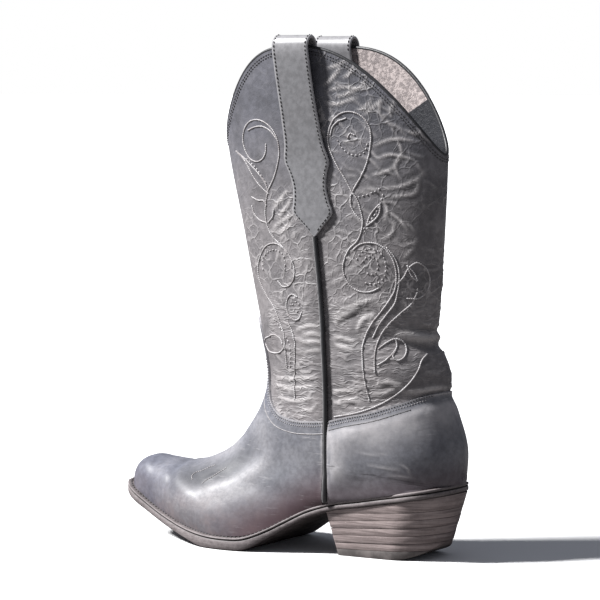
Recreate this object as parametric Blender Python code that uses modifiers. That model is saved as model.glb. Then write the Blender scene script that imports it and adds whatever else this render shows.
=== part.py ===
"""Western boot, left foot, standing on its sole.

The toe points along -X, the outer side of the foot is -Y and +Z is up. The origin is the middle of the
heel's rest face. Tables and sizes are in millimetres: a place on the foot is given by f, the distance
forward of the back of the heel, and z, the height above the floor. A point on the flank has y as well.
"""

import math
from collections import namedtuple

import bmesh
import bpy
import numpy as np
from mathutils import Vector

MM = 0.001

# Driving sizes
SOLE_LENGTH = 270.0
HEEL_BACK_TO_ORIGIN = 61.0
COLLAR_PEAK = 344.0
COLLAR_PEAK_AT = 112.0
COLLAR_FRONT_DROP = 67.0
COLLAR_FRONT_POWER = 3.2
COLLAR_BACK_DROP = 73.0
COLLAR_BACK_POWER_OUTER = 2.05
COLLAR_BACK_POWER_INNER = 2.7

# Walls, layers and the clearance between pieces that meet
GAP = 0.3
UPPER_WALL = 2.2
OVERLAY = 1.3
WELT = 2.6
INSOLE = 3.4
STRAP = 2.0
PIPING_RADIUS = 1.9
BINDING_RADIUS = 1.7

# How far the welt and outsole stand out past the upper, at the heel, shank and forefoot
RIM_HEEL = 2.3
RIM_SHANK = 3.0
RIM_FOREFOOT = 6.0
WELT_UNDER_UPPER = 6.0

# The upper's sections, from the collar to the toe. Each is an oval, seen edge on from the side, from its base
# to its front. The base is the back of the shaft or heel, and then runs forward along the sole's feather edge.
# The last column is how many rows of the mesh are spent on the way to the next section.
Section = namedtuple("Section", "name front_f front_z base_f base_z half_width widest front_power rows")
ON_SOLE = None
SECTIONS = (
    Section("above_collar", 190.0, 350.0, 15.0, 350.0, 27.5, 0.50, 2.1, 0),
    Section("collar", 185.5, 285.0, 13.0, 285.0, 28.5, 0.50, 2.1, 2),
    Section("mid_shaft", 170.0, 215.0, 16.0, 215.0, 30.0, 0.50, 2.1, 3),
    Section("low_shaft", 156.8, 158.0, 20.5, 158.0, 32.5, 0.50, 2.1, 1),
    Section("slouch_trough", 153.2, 143.0, 21.8, 146.0, 33.5, 0.49, 2.1, 1),
    Section("slouch_skirt", 151.0, 134.0, 15.8, 136.0, 34.0, 0.48, 2.1, 2),
    Section("slouch_ridge", 148.8, 117.0, 11.0, 118.0, 34.5, 0.47, 2.1, 1),
    Section("counter_top", 149.8, 108.6, 13.2, 109.0, 34.5, 0.45, 2.1, 1),
    Section("ankle", 152.9, 99.2, 8.9, 96.0, 34.8, 0.42, 2.1, 1),
    Section("heel_swell", 158.0, 89.8, 3.4, 79.0, 34.8, 0.38, 2.15, 1),
    Section("heel_back", 164.6, 80.6, 1.4, 62.0, 34.5, 0.34, 2.2, 1),
    Section("heel_seat", 170.7, 73.1, 2.6, 49.5, 33.8, 0.30, 2.25, 2),
    Section("heel_round", 176.3, 68.0, 6.5, ON_SOLE, 33.5, 0.26, 2.3, 2),
    Section("heel_side", 183.5, 63.0, 25.0, ON_SOLE, 33.2, 0.20, 2.35, 2),
    Section("breast", 191.6, 58.9, 60.0, ON_SOLE, 32.8, 0.16, 2.4, 2),
    Section("shank", 199.8, 55.7, 95.0, ON_SOLE, 32.6, 0.20, 2.45, 2),
    Section("waist", 208.0, 53.6, 130.0, ON_SOLE, 38.6, 0.20, 2.5, 2),
    Section("ball", 217.0, 52.1, 165.0, ON_SOLE, 43.0, 0.20, 2.5, 2),
    Section("vamp", 227.0, 51.6, 200.0, ON_SOLE, 35.2, 0.22, 2.6, 2),
    Section("toe_box", 240.0, 53.0, 230.0, ON_SOLE, 24.8, 0.26, 2.8, 2),
    Section("toe_top", 250.4, 53.4, 248.5, ON_SOLE, 18.8, 0.30, 3.0, 2),
    Section("toe_front", 259.0, 48.6, 259.0, ON_SOLE, 12.0, 0.30, 2.8, 3),
    Section("toe_tip", 263.4, 33.2, 263.4, ON_SOLE, 0.0, 0.30, 2.4, 0),
)
HEEL_SEAT_ROW = 11
BASE_POWER = 2.0
SKIRT_BELOW_FEATHER = 3.0

# Height of the feather edge, where the upper meets the welt, along the foot
FEATHER = ((0.0, 52.3), (30.0, 47.0), (60.0, 41.6), (89.0, 36.0), (105.0, 30.2), (117.0, 23.8), (130.0, 16.8),
           (146.0, 10.8), (160.0, 10.0), (178.0, 10.6), (205.0, 14.5), (230.0, 21.6), (250.0, 30.0),
           (270.0, 39.5))

# Height of the outsole's underside: flat under the ball, straight along the heel seat
UNDERSIDE = ((0.0, 45.6), (30.0, 40.4), (60.0, 35.1), (89.0, 29.6), (105.0, 23.6), (117.0, 16.8),
             (130.0, 8.8), (143.0, 1.6), (148.0, 0.0), (177.0, 0.0), (182.0, 0.45), (195.0, 3.4), (222.0, 10.8),
             (248.0, 20.8), (270.0, 30.5))
TREAD_FLAT = (148.0, 177.0)

# Half width of the feather edge along the foot, before its ends are rounded off
HALF_WIDTH = ((0.0, 30.8), (40.0, 31.0), (72.0, 30.2), (92.0, 29.2), (108.0, 31.2), (125.0, 36.2),
              (142.0, 40.8), (158.0, 42.5), (172.0, 41.4), (190.0, 36.8), (210.0, 29.8), (228.0, 24.2),
              (242.0, 20.4), (265.0, 15.5))
HEEL_ROUND = 28.0
HEEL_END = 2.6
TOE_ROUND = 19.0
TOE_END = 263.4
TOE_POWER = 2.7

# Sideways bend of the foot's middle line: the toe turns in, the waist bows out
SWING = ((0.0, 0.0), (60.0, 0.0), (110.0, -2.0), (150.0, -2.2), (200.0, 1.0), (240.0, 4.0), (270.0, 5.0))
SWING_FULL_BELOW = 70.0
SWING_NONE_ABOVE = 130.0

# Side seam: how far forward it runs at each height
SEAM = ((30.0, 88.0), (60.0, 86.5), (100.0, 86.0), (150.0, 89.0), (215.0, 97.0), (290.0, 108.0), (350.0, 116.0))
SEAM_CLEAR = 2.3

# Top edges of the vamp, forward of the seam, and of the counter, behind it, seen from the side
VAMP_EDGE = ((100.0, 91.0), (114.0, 91.5), (125.0, 95.0), (132.0, 102.0), (135.5, 112.0), (135.0, 122.0),
             (131.5, 130.0), (138.0, 137.0), (145.0, 147.0), (152.0, 156.0), (166.0, 163.0))
VAMP_EDGE_AT_SEAM = 92.0
COUNTER_EDGE = ((70.0, 96.0), (52.0, 100.0), (34.0, 106.0), (16.0, 112.5), (-6.0, 115.0))
COUNTER_EDGE_AT_SEAM = 92.5

# Pull strap: half width, and how far its inner face stands off the shaft, at each height of its outer leg
StrapRow = namedtuple("StrapRow", "z half_width stand_off")
STRAP_OUTER_LEG = (
    StrapRow(216.5, 0.8, 0.0), StrapRow(224.0, 8.0, 0.0), StrapRow(232.5, 15.5, 0.0),
    StrapRow(240.0, 14.2, 0.0), StrapRow(250.0, 13.2, 0.0), StrapRow(259.0, 15.0, 0.0),
    StrapRow(266.0, 17.6, 0.0), StrapRow(278.0, 15.6, 1.2), StrapRow(295.0, 14.7, 3.6),
    StrapRow(315.0, 14.4, 6.6), StrapRow(332.0, 14.4, 8.4), StrapRow(344.0, 14.4, 8.6),
)
STRAP_TOP = 352.0
STRAP_INNER_END = 306.0
STRAP_BEND_STEPS = 8
STRAP_INNER_STEPS = 3
STRAP_ACROSS = 3

# Heel block: D-shaped outlines at the floor and at a level just above the seat
HeelOutline = namedtuple("HeelOutline", "z breast_f straight_to_f back_f half_width")
HEEL_FOOT = HeelOutline(0.0, 81.0, 42.0, 14.0, 27.0)
HEEL_HEAD = HeelOutline(48.0, 93.0, 34.0, -0.6, 32.9)
HEEL_BREAST_HOLLOW = 3.0
HEEL_ROUND_STEPS = 12
HEEL_BREAST_STEPS = 4

# Joints between the heel's lifts: height at mid heel and rise towards the back, from the floor up
HeelJoint = namedtuple("HeelJoint", "z rise_deg")
HEEL_JOINTS = (HeelJoint(5.6, 2.0), HeelJoint(10.6, 2.6), HeelJoint(15.8, 3.1), HeelJoint(21.0, 3.6),
               HeelJoint(26.2, 4.0), HeelJoint(31.4, 4.4))
HEEL_MIDDLE = 52.0

# Bevel under the back of the heel, seen from the side
HEEL_BEVEL = ((42.0, 0.0), (32.0, 1.2), (23.0, 3.8), (16.5, 7.2), (11.5, 11.5), (6.0, 17.5))

# Mesh resolution
COLUMNS = 12
COLLAR_ROWS = 4
COLLAR_ROWS_END = 258.0
OVERLAY_ROWS_FROM = 200.0
RIM_POINTS = 84
RIM_EVEN = 0.7
PIPING_STEP = 11.0

# Working sizes: a step down the wall from the collar, and cutters well clear of the boot
COLLAR_PROBE = 5.0
FAR_SIDE = 120.0
FAR_UP = 120.0
FAR_DOWN = -30.0


def spline(table, at):
    """Smooth curve through the rows of a table whose first column is the knot; returns the other columns."""
    rows = np.array(table, float)
    knots, values = rows[:, 0], rows[:, 1:]
    slopes = np.gradient(values, knots, axis=0)
    at = np.clip(np.asarray(at, float), knots[0], knots[-1])
    i = np.clip(np.searchsorted(knots, at, side="right") - 1, 0, len(knots) - 2)
    step = knots[i + 1] - knots[i]
    t = ((at - knots[i]) / step)[..., None]
    step = step[..., None]
    return ((2 * t**3 - 3 * t**2 + 1) * values[i] + (t**3 - 2 * t**2 + t) * step * slopes[i]
            + (3 * t**2 - 2 * t**3) * values[i + 1] + (t**3 - t**2) * step * slopes[i + 1])


def curve_value(table, at):
    """A two-column table read as a smooth function of one number."""
    return float(spline(table, at)[..., 0])


def feather_z(f):
    return curve_value(FEATHER, f)


def underside_z(f):
    """Underside of the outsole, held exactly flat where it treads."""
    if TREAD_FLAT[0] <= f <= TREAD_FLAT[1]:
        return 0.0
    return max(0.0, curve_value(UNDERSIDE, f))


def outline_half(f):
    """Half width of the feather edge, with the heel rounded to an ellipse and the toe to a blunt point."""
    if f <= HEEL_END or f >= TOE_END:
        return 0.0
    half = curve_value(HALF_WIDTH, f)
    if f < HEEL_END + HEEL_ROUND:
        half *= math.sqrt(1 - ((HEEL_END + HEEL_ROUND - f) / HEEL_ROUND) ** 2)
    if f > TOE_END - TOE_ROUND:
        share = (f - TOE_END + TOE_ROUND) / TOE_ROUND
        half *= (1 - share**TOE_POWER) ** (1 / TOE_POWER)
    return half


def swing(f, z):
    """Sideways place of the middle of the foot, fading to nothing up the shaft."""
    t = min(1.0, max(0.0, (SWING_NONE_ABOVE - z) / (SWING_NONE_ABOVE - SWING_FULL_BELOW)))
    return curve_value(SWING, f) * t * t * (3 - 2 * t)


def section_knots():
    """Distance run along the boot at each section, the mean of what its two ends move."""
    knots = [0.0]
    for last, now in zip(SECTIONS, SECTIONS[1:]):
        front = math.hypot(now.front_f - last.front_f, now.front_z - last.front_z)
        base = math.hypot(now.base_f - last.base_f, base_height(now) - base_height(last))
        knots.append(knots[-1] + (front + base) / 2)
    return knots


def base_height(section):
    if section.base_z is ON_SOLE:
        return feather_z(section.base_f) - SKIRT_BELOW_FEATHER
    return section.base_z


KNOTS = section_knots()
SECTION_TABLE = [(k, s.front_f, s.front_z, s.base_f, base_height(s), s.half_width, s.widest, s.front_power)
                 for k, s in zip(KNOTS, SECTIONS)]
HEEL_KNOT = KNOTS[HEEL_SEAT_ROW]


class Oval:
    """One section of the upper at run s, read from the table and trimmed where it meets the feather edge."""

    def __init__(self, s):
        values = spline(SECTION_TABLE, s)
        (self.front_f, self.front_z, self.base_f, self.base_z, self.half, self.widest, self.power) = values
        self.start, self.reach = 0.0, 1.0
        if s > HEEL_KNOT:
            self.base_z = feather_z(self.base_f) - SKIRT_BELOW_FEATHER
            half = outline_half(self.base_f)
            self.half = max(self.half, half * 1.015, 0.0)
            if self.half == 0.0:
                self.front_f, self.front_z, self.start = self.base_f, self.base_z, math.pi / 2
            else:
                self.start = math.asin(half / self.half)
            self.reach = max(1e-6, math.cos(self.start) ** (2 / BASE_POWER))

    def share_and_half(self, angle):
        """Share of the way from base to front, and the half width there, at an angle round the oval."""
        side = abs(math.cos(angle))
        half = self.half * max(0.0, math.sin(angle))
        if angle < math.pi / 2:
            return self.widest * (1 - side ** (2 / BASE_POWER) / self.reach), half
        return self.widest + (1 - self.widest) * side ** (2 / self.power), half

    def angle_at(self, share):
        if share < self.widest:
            side = self.reach * (self.widest - share) / self.widest
            return math.acos(min(1.0, side ** (BASE_POWER / 2)))
        side = (share - self.widest) / (1 - self.widest)
        return math.pi - math.acos(min(1.0, side ** (self.power / 2)))

    def point(self, angle):
        """(f, half width, z) at an angle from the base, 0 or the feather edge, to the front, pi."""
        share, half = self.share_and_half(angle)
        f = self.base_f + share * (self.front_f - self.base_f)
        return f, half, self.base_z + share * (self.front_z - self.base_z)

    def side_of(self, f, z):
        """Above zero where a point seen from the side lies above this section."""
        return ((self.front_f - self.base_f) * (z - self.base_z)
                - (self.front_z - self.base_z) * (f - self.base_f))


def solve(low, high, is_past, steps=36):
    """Where is_past turns true between low and high."""
    for _ in range(steps):
        middle = (low + high) / 2
        low, high = (low, middle) if is_past(middle) else (middle, high)
    return (low + high) / 2


def flank_half(f, z):
    """Half width of the upper at a place seen from the side."""
    oval = Oval(solve(KNOTS[0], KNOTS[-1] - 1e-6, lambda s: Oval(s).side_of(f, z) > 0))
    share = (f - oval.base_f) / (oval.front_f - oval.base_f)
    return oval.share_and_half(oval.angle_at(min(1.0, max(0.0, share))))[1]


def collar_z(f, side):
    """Scalloped top edge, seen from the side: two falling curves that meet at the peak over the pull straps."""
    if f > COLLAR_PEAK_AT:
        span, drop, power = SECTIONS[1].front_f - COLLAR_PEAK_AT, COLLAR_FRONT_DROP, COLLAR_FRONT_POWER
    else:
        span, drop = COLLAR_PEAK_AT - SECTIONS[1].base_f, COLLAR_BACK_DROP
        power = COLLAR_BACK_POWER_OUTER if side < 0 else COLLAR_BACK_POWER_INNER
    return COLLAR_PEAK - drop * (abs(f - COLLAR_PEAK_AT) / span) ** power


def shaft_oval(z):
    return Oval(solve(KNOTS[0], KNOTS[5], lambda s: Oval(s).base_z < z))


def collar_height(angle, side):
    """Height of the collar at an angle round the shaft, on the outer side, -1, or the inner, 1."""
    z = COLLAR_PEAK - COLLAR_FRONT_DROP / 2
    for _ in range(14):
        z = (z + collar_z(shaft_oval(z).point(angle)[0], side)) / 2
    return z


def world(f, y, z):
    return ((HEEL_BACK_TO_ORIGIN - f) * MM, y * MM, z * MM)


def whole_row(outer_points, inner_points):
    """A row from its halves: outer side from the base to the front, then the inner side back to the base."""
    outer = [world(f, swing(f, z) - half, z) for f, half, z in outer_points]
    inner = [world(f, swing(f, z) + half, z) for f, half, z in inner_points[:-1]]
    return outer + inner[::-1]


def collar_rows():
    """Rows of points from the collar's scalloped edge down to a level ring under it."""
    angles = [math.pi * c / COLUMNS for c in range(COLUMNS + 1)]
    tops = [[collar_height(a, side) for a in angles] for side in (-1, 1)]
    rows = []
    for r in range(COLLAR_ROWS):
        rows.append(whole_row(*([shaft_oval(top + (COLLAR_ROWS_END - top) * r / COLLAR_ROWS).point(a)
                                 for a, top in zip(angles, half)] for half in tops)))
    return rows


def body_runs():
    """Runs at which the shaft and foot have a row of points, from the level ring under the collar."""
    start = solve(KNOTS[0], KNOTS[5], lambda s: Oval(s).base_z < COLLAR_ROWS_END)
    runs = []
    for i, section in enumerate(SECTIONS[:-1]):
        low = max(start, KNOTS[i])
        runs += [low + (KNOTS[i + 1] - low) * r / section.rows for r in range(section.rows)]
    return runs + [KNOTS[-1]]


def body_rows(first_z=COLLAR_ROWS_END):
    """Rows of points from a height on the shaft down to the toe's tip."""
    rows = []
    for oval in map(Oval, body_runs()):
        if oval.base_z <= first_z + 1e-3:
            half = [oval.point(a) for a in np.linspace(oval.start, math.pi, COLUMNS + 1)]
            rows.append(whole_row(half, half))
    return rows


def material(name, colour, roughness, metallic=0.0):
    made = bpy.data.materials.new(name)
    made.use_nodes = True
    shader = made.node_tree.nodes["Principled BSDF"]
    shader.inputs["Base Color"].default_value = (*colour, 1.0)
    shader.inputs["Roughness"].default_value = roughness
    shader.inputs["Metallic"].default_value = metallic
    return made


def new_collection(name):
    made = bpy.data.collections.new(name)
    bpy.context.scene.collection.children.link(made)
    return made


def place(name, mesh, look, collection, smooth_deg=40.0):
    """A named object for a finished mesh, shaded smooth across its gentle edges."""
    obj = bpy.data.objects.new(name, mesh)
    collection.objects.link(obj)
    if look is not None:
        mesh.materials.append(look)
    mesh.shade_smooth()
    mesh.set_sharp_from_angle(angle=math.radians(smooth_deg))
    return obj


def as_cutter(obj):
    obj.hide_render = True
    obj.display_type = "WIRE"
    return obj


def lofted(name, rows, wrap_rows=False, wrap_columns=False, cap_ends=False, triangles=False):
    """Mesh skinned over rows of points with equal counts, with points that coincide made one."""
    bm = bmesh.new()
    grid = [[bm.verts.new(p) for p in row] for row in rows]
    pairs = list(zip(grid, grid[1:]))
    if wrap_rows:
        pairs.append((grid[-1], grid[0]))
    count = len(grid[0])
    for now, after in pairs:
        for c in range(count if wrap_columns else count - 1):
            d = (c + 1) % count
            bm.faces.new((now[c], now[d], after[d], after[c]))
    if cap_ends:
        bm.faces.new(grid[0][::-1])
        bm.faces.new(grid[-1])
    bmesh.ops.remove_doubles(bm, verts=bm.verts, dist=1e-6)
    bmesh.ops.dissolve_degenerate(bm, edges=bm.edges, dist=1e-7)
    if triangles:
        bmesh.ops.triangulate(bm, faces=bm.faces, quad_method="SHORT_EDGE")
    mesh = bpy.data.meshes.new(name)
    bm.to_mesh(mesh)
    bm.free()
    return mesh


def outward(mesh):
    """Turns a closed mesh's faces to point out."""
    bm = bmesh.new()
    bm.from_mesh(mesh)
    bmesh.ops.recalc_face_normals(bm, faces=bm.faces)
    bm.to_mesh(mesh)
    bm.free()
    return mesh


def boolean(obj, other, operation):
    cut = obj.modifiers.new(f"{operation.lower()} {other.name}", "BOOLEAN")
    cut.operation = operation
    cut.object = other
    cut.solver = "EXACT"


def side_prism(name, outline, collection):
    """Cutter with an outline seen from the side, (f, z) points, that runs right through the boot."""
    flat = bpy.data.curves.new(name, "CURVE")
    flat.dimensions = "2D"
    flat.fill_mode = "BOTH"
    flat.extrude = FAR_SIDE * MM
    line = flat.splines.new("POLY")
    line.points.add(len(outline) - 1)
    for point, (f, z) in zip(line.points, outline):
        x, _, up = world(f, 0.0, z)
        point.co = (x, up, 0.0, 1.0)
    line.use_cyclic_u = True
    drawn = bpy.data.objects.new(name + " outline", flat)
    collection.objects.link(drawn)
    drawn.rotation_euler = (math.pi / 2, 0.0, 0.0)
    bpy.context.view_layer.update()
    mesh = bpy.data.meshes.new_from_object(drawn.evaluated_get(bpy.context.evaluated_depsgraph_get()))
    mesh.transform(drawn.matrix_world)
    bpy.data.objects.remove(drawn)
    bm = bmesh.new()
    bm.from_mesh(mesh)
    bmesh.ops.remove_doubles(bm, verts=bm.verts, dist=1e-6)
    bmesh.ops.recalc_face_normals(bm, faces=bm.faces)
    bm.to_mesh(mesh)
    bm.free()
    return as_cutter(place(name, mesh, None, collection))


def rim(f):
    """How far the welt and outsole stand out past the feather edge."""
    return curve_value(((0.0, RIM_HEEL), (70.0, RIM_HEEL), (95.0, RIM_SHANK), (120.0, RIM_SHANK),
                        (150.0, RIM_FOREFOOT * 0.8), (180.0, RIM_FOREFOOT), (270.0, RIM_FOREFOOT)), f)


def feather_loop():
    """(f, y) round the feather edge: heel, outer side, toe and back, closer together at the ends."""
    steps = RIM_POINTS // 2
    half_loop = []
    for i in range(steps + 1):
        even, round_off = i / steps, (1 - math.cos(math.pi * i / steps)) / 2
        half_loop.append(HEEL_END + (TOE_END - HEEL_END) * (even * RIM_EVEN + round_off * (1 - RIM_EVEN)))
    outer = [(f, swing(f, 0.0) - outline_half(f)) for f in half_loop]
    inner = [(f, swing(f, 0.0) + outline_half(f)) for f in half_loop[1:-1]]
    return outer + inner[::-1]


def offset_loop(loop, distance_at):
    """The loop moved outwards, square to its own run, by a distance that depends on f."""
    moved = []
    for i, (f, y) in enumerate(loop):
        before, after = loop[i - 1], loop[(i + 1) % len(loop)]
        run_f, run_y = after[0] - before[0], after[1] - before[1]
        length = math.hypot(run_f, run_y)
        distance = distance_at(f)
        moved.append((f + run_y / length * distance, y - run_f / length * distance))
    return moved


def plate(name, loop, top_z, bottom_z):
    """Closed plate inside a loop, ruled across the foot, whose top and bottom follow the foot's length."""
    half = len(loop) // 2
    pairs = [(loop[i], loop[-i % len(loop)]) for i in range(half + 1)]
    rows = []
    for (outer_f, outer_y), (inner_f, inner_y) in pairs:
        rows.append([world(outer_f, outer_y, bottom_z(outer_f)), world(outer_f, outer_y, top_z(outer_f)),
                     world(inner_f, inner_y, top_z(inner_f)), world(inner_f, inner_y, bottom_z(inner_f))])
    return outward(lofted(name, rows, wrap_columns=True))


def sole_cutter(name, top_z, bottom_z, collection, stations=62):
    """Wide ruled slab along the whole foot, for trimming pieces to the feather edge or the underside."""
    rows = []
    for f in np.linspace(-40.0, SOLE_LENGTH + 40.0, stations):
        rows.append([world(f, -FAR_SIDE, bottom_z(f)), world(f, -FAR_SIDE, top_z(f)),
                     world(f, FAR_SIDE, top_z(f)), world(f, FAR_SIDE, bottom_z(f))])
    mesh = outward(lofted(name, rows, wrap_columns=True, cap_ends=True))
    return as_cutter(place(name, mesh, None, collection))


def make_upper(look, parts, trim):
    """Hollow wall of shaft and foot, open at the collar and over the sole."""
    obj = place("upper", lofted("upper", collar_rows() + body_rows(), triangles=True), look, parts)
    wall = obj.modifiers.new("wall", "SOLIDIFY")
    wall.thickness = UPPER_WALL * MM
    wall.offset = -1.0
    boolean(obj, trim, "DIFFERENCE")
    return obj


def make_overlay(name, look, parts, trim, region, first_z):
    """Leather laid over the upper, cut from a skin on the upper's own form by an outline seen from the side."""
    obj = place(name, lofted(name, body_rows(first_z), triangles=True), look, parts)
    clear = obj.modifiers.new("clear of the upper", "DISPLACE")
    clear.strength = GAP * MM
    clear.mid_level = 0.0
    skin = obj.modifiers.new("leather", "SOLIDIFY")
    skin.thickness = OVERLAY * MM
    skin.offset = 1.0
    boolean(obj, region, "INTERSECT")
    boolean(obj, trim, "DIFFERENCE")
    return obj


def seam_f(z):
    return curve_value(SEAM, z)


def seam_line(low, high, shift):
    """Points along the side seam, moved forward by shift."""
    return [(seam_f(z) + shift, z) for z in np.linspace(low, high, 6)]


def vamp_region(cutters):
    """Seen from the side: everything forward of the seam and under the vamp's scalloped edge and tongue."""
    seam = seam_line(FAR_DOWN + 50.0, VAMP_EDGE_AT_SEAM, SEAM_CLEAR)
    front = SOLE_LENGTH + 20.0
    outline = seam + list(VAMP_EDGE) + [(front, VAMP_EDGE[-1][1]), (front, FAR_DOWN), (seam[0][0], FAR_DOWN)]
    return side_prism("vamp region", outline, cutters)


def counter_region(cutters):
    """Seen from the side: everything behind the seam and under the counter's rising edge."""
    seam = seam_line(FAR_DOWN + 50.0, COUNTER_EDGE_AT_SEAM, -SEAM_CLEAR)
    back = COUNTER_EDGE[-1][0]
    outline = seam + list(COUNTER_EDGE) + [(back, FAR_DOWN), (seam[0][0], FAR_DOWN)]
    return side_prism("counter region", outline, cutters)


def tube(name, points, radius, look, parts, closed=False):
    """Round cord through points given in metres."""
    data = bpy.data.curves.new(name, "CURVE")
    data.dimensions = "3D"
    data.bevel_depth = radius * MM
    data.bevel_resolution = 1
    data.use_fill_caps = not closed
    line = data.splines.new("POLY")
    line.points.add(len(points) - 1)
    for point, co in zip(line.points, points):
        point.co = (*co, 1.0)
    line.use_cyclic_u = closed
    data.materials.append(look)
    obj = bpy.data.objects.new(name, data)
    parts.objects.link(obj)
    return obj


def make_piping(name, side, look, parts):
    """Cord over the side seam, from under the pull strap down to the welt."""
    low = feather_z(seam_f(40.0)) + PIPING_RADIUS + GAP
    high = STRAP_OUTER_LEG[0].z - PIPING_RADIUS - GAP
    stand = PIPING_RADIUS + GAP + 0.25
    points = []
    for z in np.linspace(low, high, round((high - low) / PIPING_STEP) + 1):
        f = seam_f(z)
        points.append(world(f, swing(f, z) + side * (flank_half(f, z) + stand), z))
    return tube(name, points, PIPING_RADIUS, look, parts)


def make_binding(look, parts):
    """Bead along the collar's scalloped edge, over the middle of the wall."""
    edge, below = [], []
    for i in range(2 * COLUMNS):
        angle, side = math.pi * i / COLUMNS, -1
        if angle > math.pi:
            angle, side = 2 * math.pi - angle, 1
        top = collar_height(angle, side)
        for line, z in ((edge, top), (below, top - COLLAR_PROBE)):
            f, half, _ = shaft_oval(z).point(angle)
            line.append(Vector(world(f, side * half, z)))
    points = []
    for i, (here, under) in enumerate(zip(edge, below)):
        along = edge[(i + 1) % len(edge)] - edge[i - 1]
        out = along.cross(under - here).normalized()
        up = along.cross(out).normalized()
        points.append(here - out * UPPER_WALL / 2 * MM + up * (BINDING_RADIUS + 1.5 * GAP) * MM)
    return tube("collar_binding", points, BINDING_RADIUS, look, parts, closed=True)


def strap_path():
    """(f, z, half width, distance of the inner face from the upper's outer face) from the tab's tip, over the
    collar, to the end sewn inside. Past the collar the distance is below zero, inside the wall."""
    path = [(seam_f(row.z), row.z, row.half_width, GAP + row.stand_off) for row in STRAP_OUTER_LEG]
    last = STRAP_OUTER_LEG[-1]
    f, half = seam_f(last.z), last.half_width
    outer, inner = GAP + last.stand_off, -(UPPER_WALL / 2 + BINDING_RADIUS + 3.5 * GAP)
    middle, reach = (outer + inner) / 2, (outer - inner) / 2
    rise = STRAP_TOP - STRAP - last.z
    for i in range(1, STRAP_BEND_STEPS + 1):
        angle = math.pi * i / STRAP_BEND_STEPS
        path.append((f, last.z + rise * math.sin(angle), half, middle + reach * math.cos(angle)))
    for i in range(1, STRAP_INNER_STEPS + 1):
        share = i / STRAP_INNER_STEPS
        z = last.z + (STRAP_INNER_END - last.z) * share
        path.append((seam_f(z), z, half, inner - (UPPER_WALL + GAP + inner) * share))
    return path


def make_strap(name, side, look, parts):
    """Flat leather loop: a shaped tab sewn to the shaft, free above it, over the collar and down inside."""
    path = strap_path()
    inner_rows, heading = [], []
    for i, (f, z, half, distance) in enumerate(path):
        before, after = path[max(0, i - 1)], path[min(len(path) - 1, i + 1)]
        run_z, run_y = after[1] - before[1], after[3] - before[3]
        length = math.hypot(run_z, run_y)
        heading.append((run_z / length, run_y / length))
        row = []
        for c in range(STRAP_ACROSS + 1):
            across = half * (2 * c / STRAP_ACROSS - 1)
            row.append((f + across, flank_half(f + across, min(z, COLLAR_PEAK)) + distance, z))
        inner_rows.append(row)
    rows = []
    for row, (along_z, along_y) in zip(inner_rows, heading):
        outer = [(f, y + STRAP * along_z, z - STRAP * along_y) for f, y, z in row]
        rows.append([world(f, side * y, z) for f, y, z in row + outer[::-1]])
    mesh = outward(lofted(name, rows, wrap_columns=True, cap_ends=True))
    return place(name, mesh, look, parts)


def welt_z(f):
    """Underside of the welt."""
    return feather_z(f) - GAP - WELT


def make_welt(look, parts):
    """Strip round the whole sole, from under the upper's edge out past it."""
    loop = feather_loop()
    outer = offset_loop(loop, rim)
    inner = offset_loop(loop, lambda f: -WELT_UNDER_UPPER)
    rows = []
    for (out_f, out_y), (in_f, in_y) in zip(outer, inner):
        rows.append([world(in_f, in_y, welt_z(in_f)), world(in_f, in_y, welt_z(in_f) + WELT),
                     world(out_f, out_y, welt_z(out_f) + WELT), world(out_f, out_y, welt_z(out_f))])
    return place("welt", outward(lofted("welt", rows, wrap_rows=True, wrap_columns=True)), look, parts)


def make_insole(look, parts):
    """Footbed that closes the welt's ring from inside."""
    loop = offset_loop(feather_loop(), lambda f: -WELT_UNDER_UPPER - GAP)
    mesh = plate("insole", loop, lambda f: welt_z(f) + INSOLE, welt_z)
    return place("insole", mesh, look, parts)


def make_outsole(look, parts):
    loop = offset_loop(feather_loop(), rim)
    mesh = plate("outsole", loop, lambda f: welt_z(f) - GAP, underside_z)
    return place("outsole", mesh, look, parts)


def heel_loop(outline):
    """D-shaped ring of points: straight sides, round back and a breast hollowed towards the back."""
    loop = []
    for i in range(HEEL_ROUND_STEPS + 1):
        angle = math.pi * (i / HEEL_ROUND_STEPS - 0.5)
        reach = outline.straight_to_f - outline.back_f
        loop.append((outline.straight_to_f - reach * math.cos(angle), outline.half_width * math.sin(angle)))
    for i in range(HEEL_BREAST_STEPS + 1):
        y = outline.half_width * (1 - 2 * i / HEEL_BREAST_STEPS)
        hollow = HEEL_BREAST_HOLLOW * (1 - (y / outline.half_width) ** 2)
        loop.append((outline.breast_f - hollow, y))
    return [world(f, y, outline.z) for f, y in loop]


def heel_plane(joint, shift):
    """Height of a joint between lifts at distance f, moved up by shift."""
    slope = math.tan(math.radians(joint.rise_deg))
    return lambda f: joint.z + shift + (HEEL_MIDDLE - f) * slope


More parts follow.
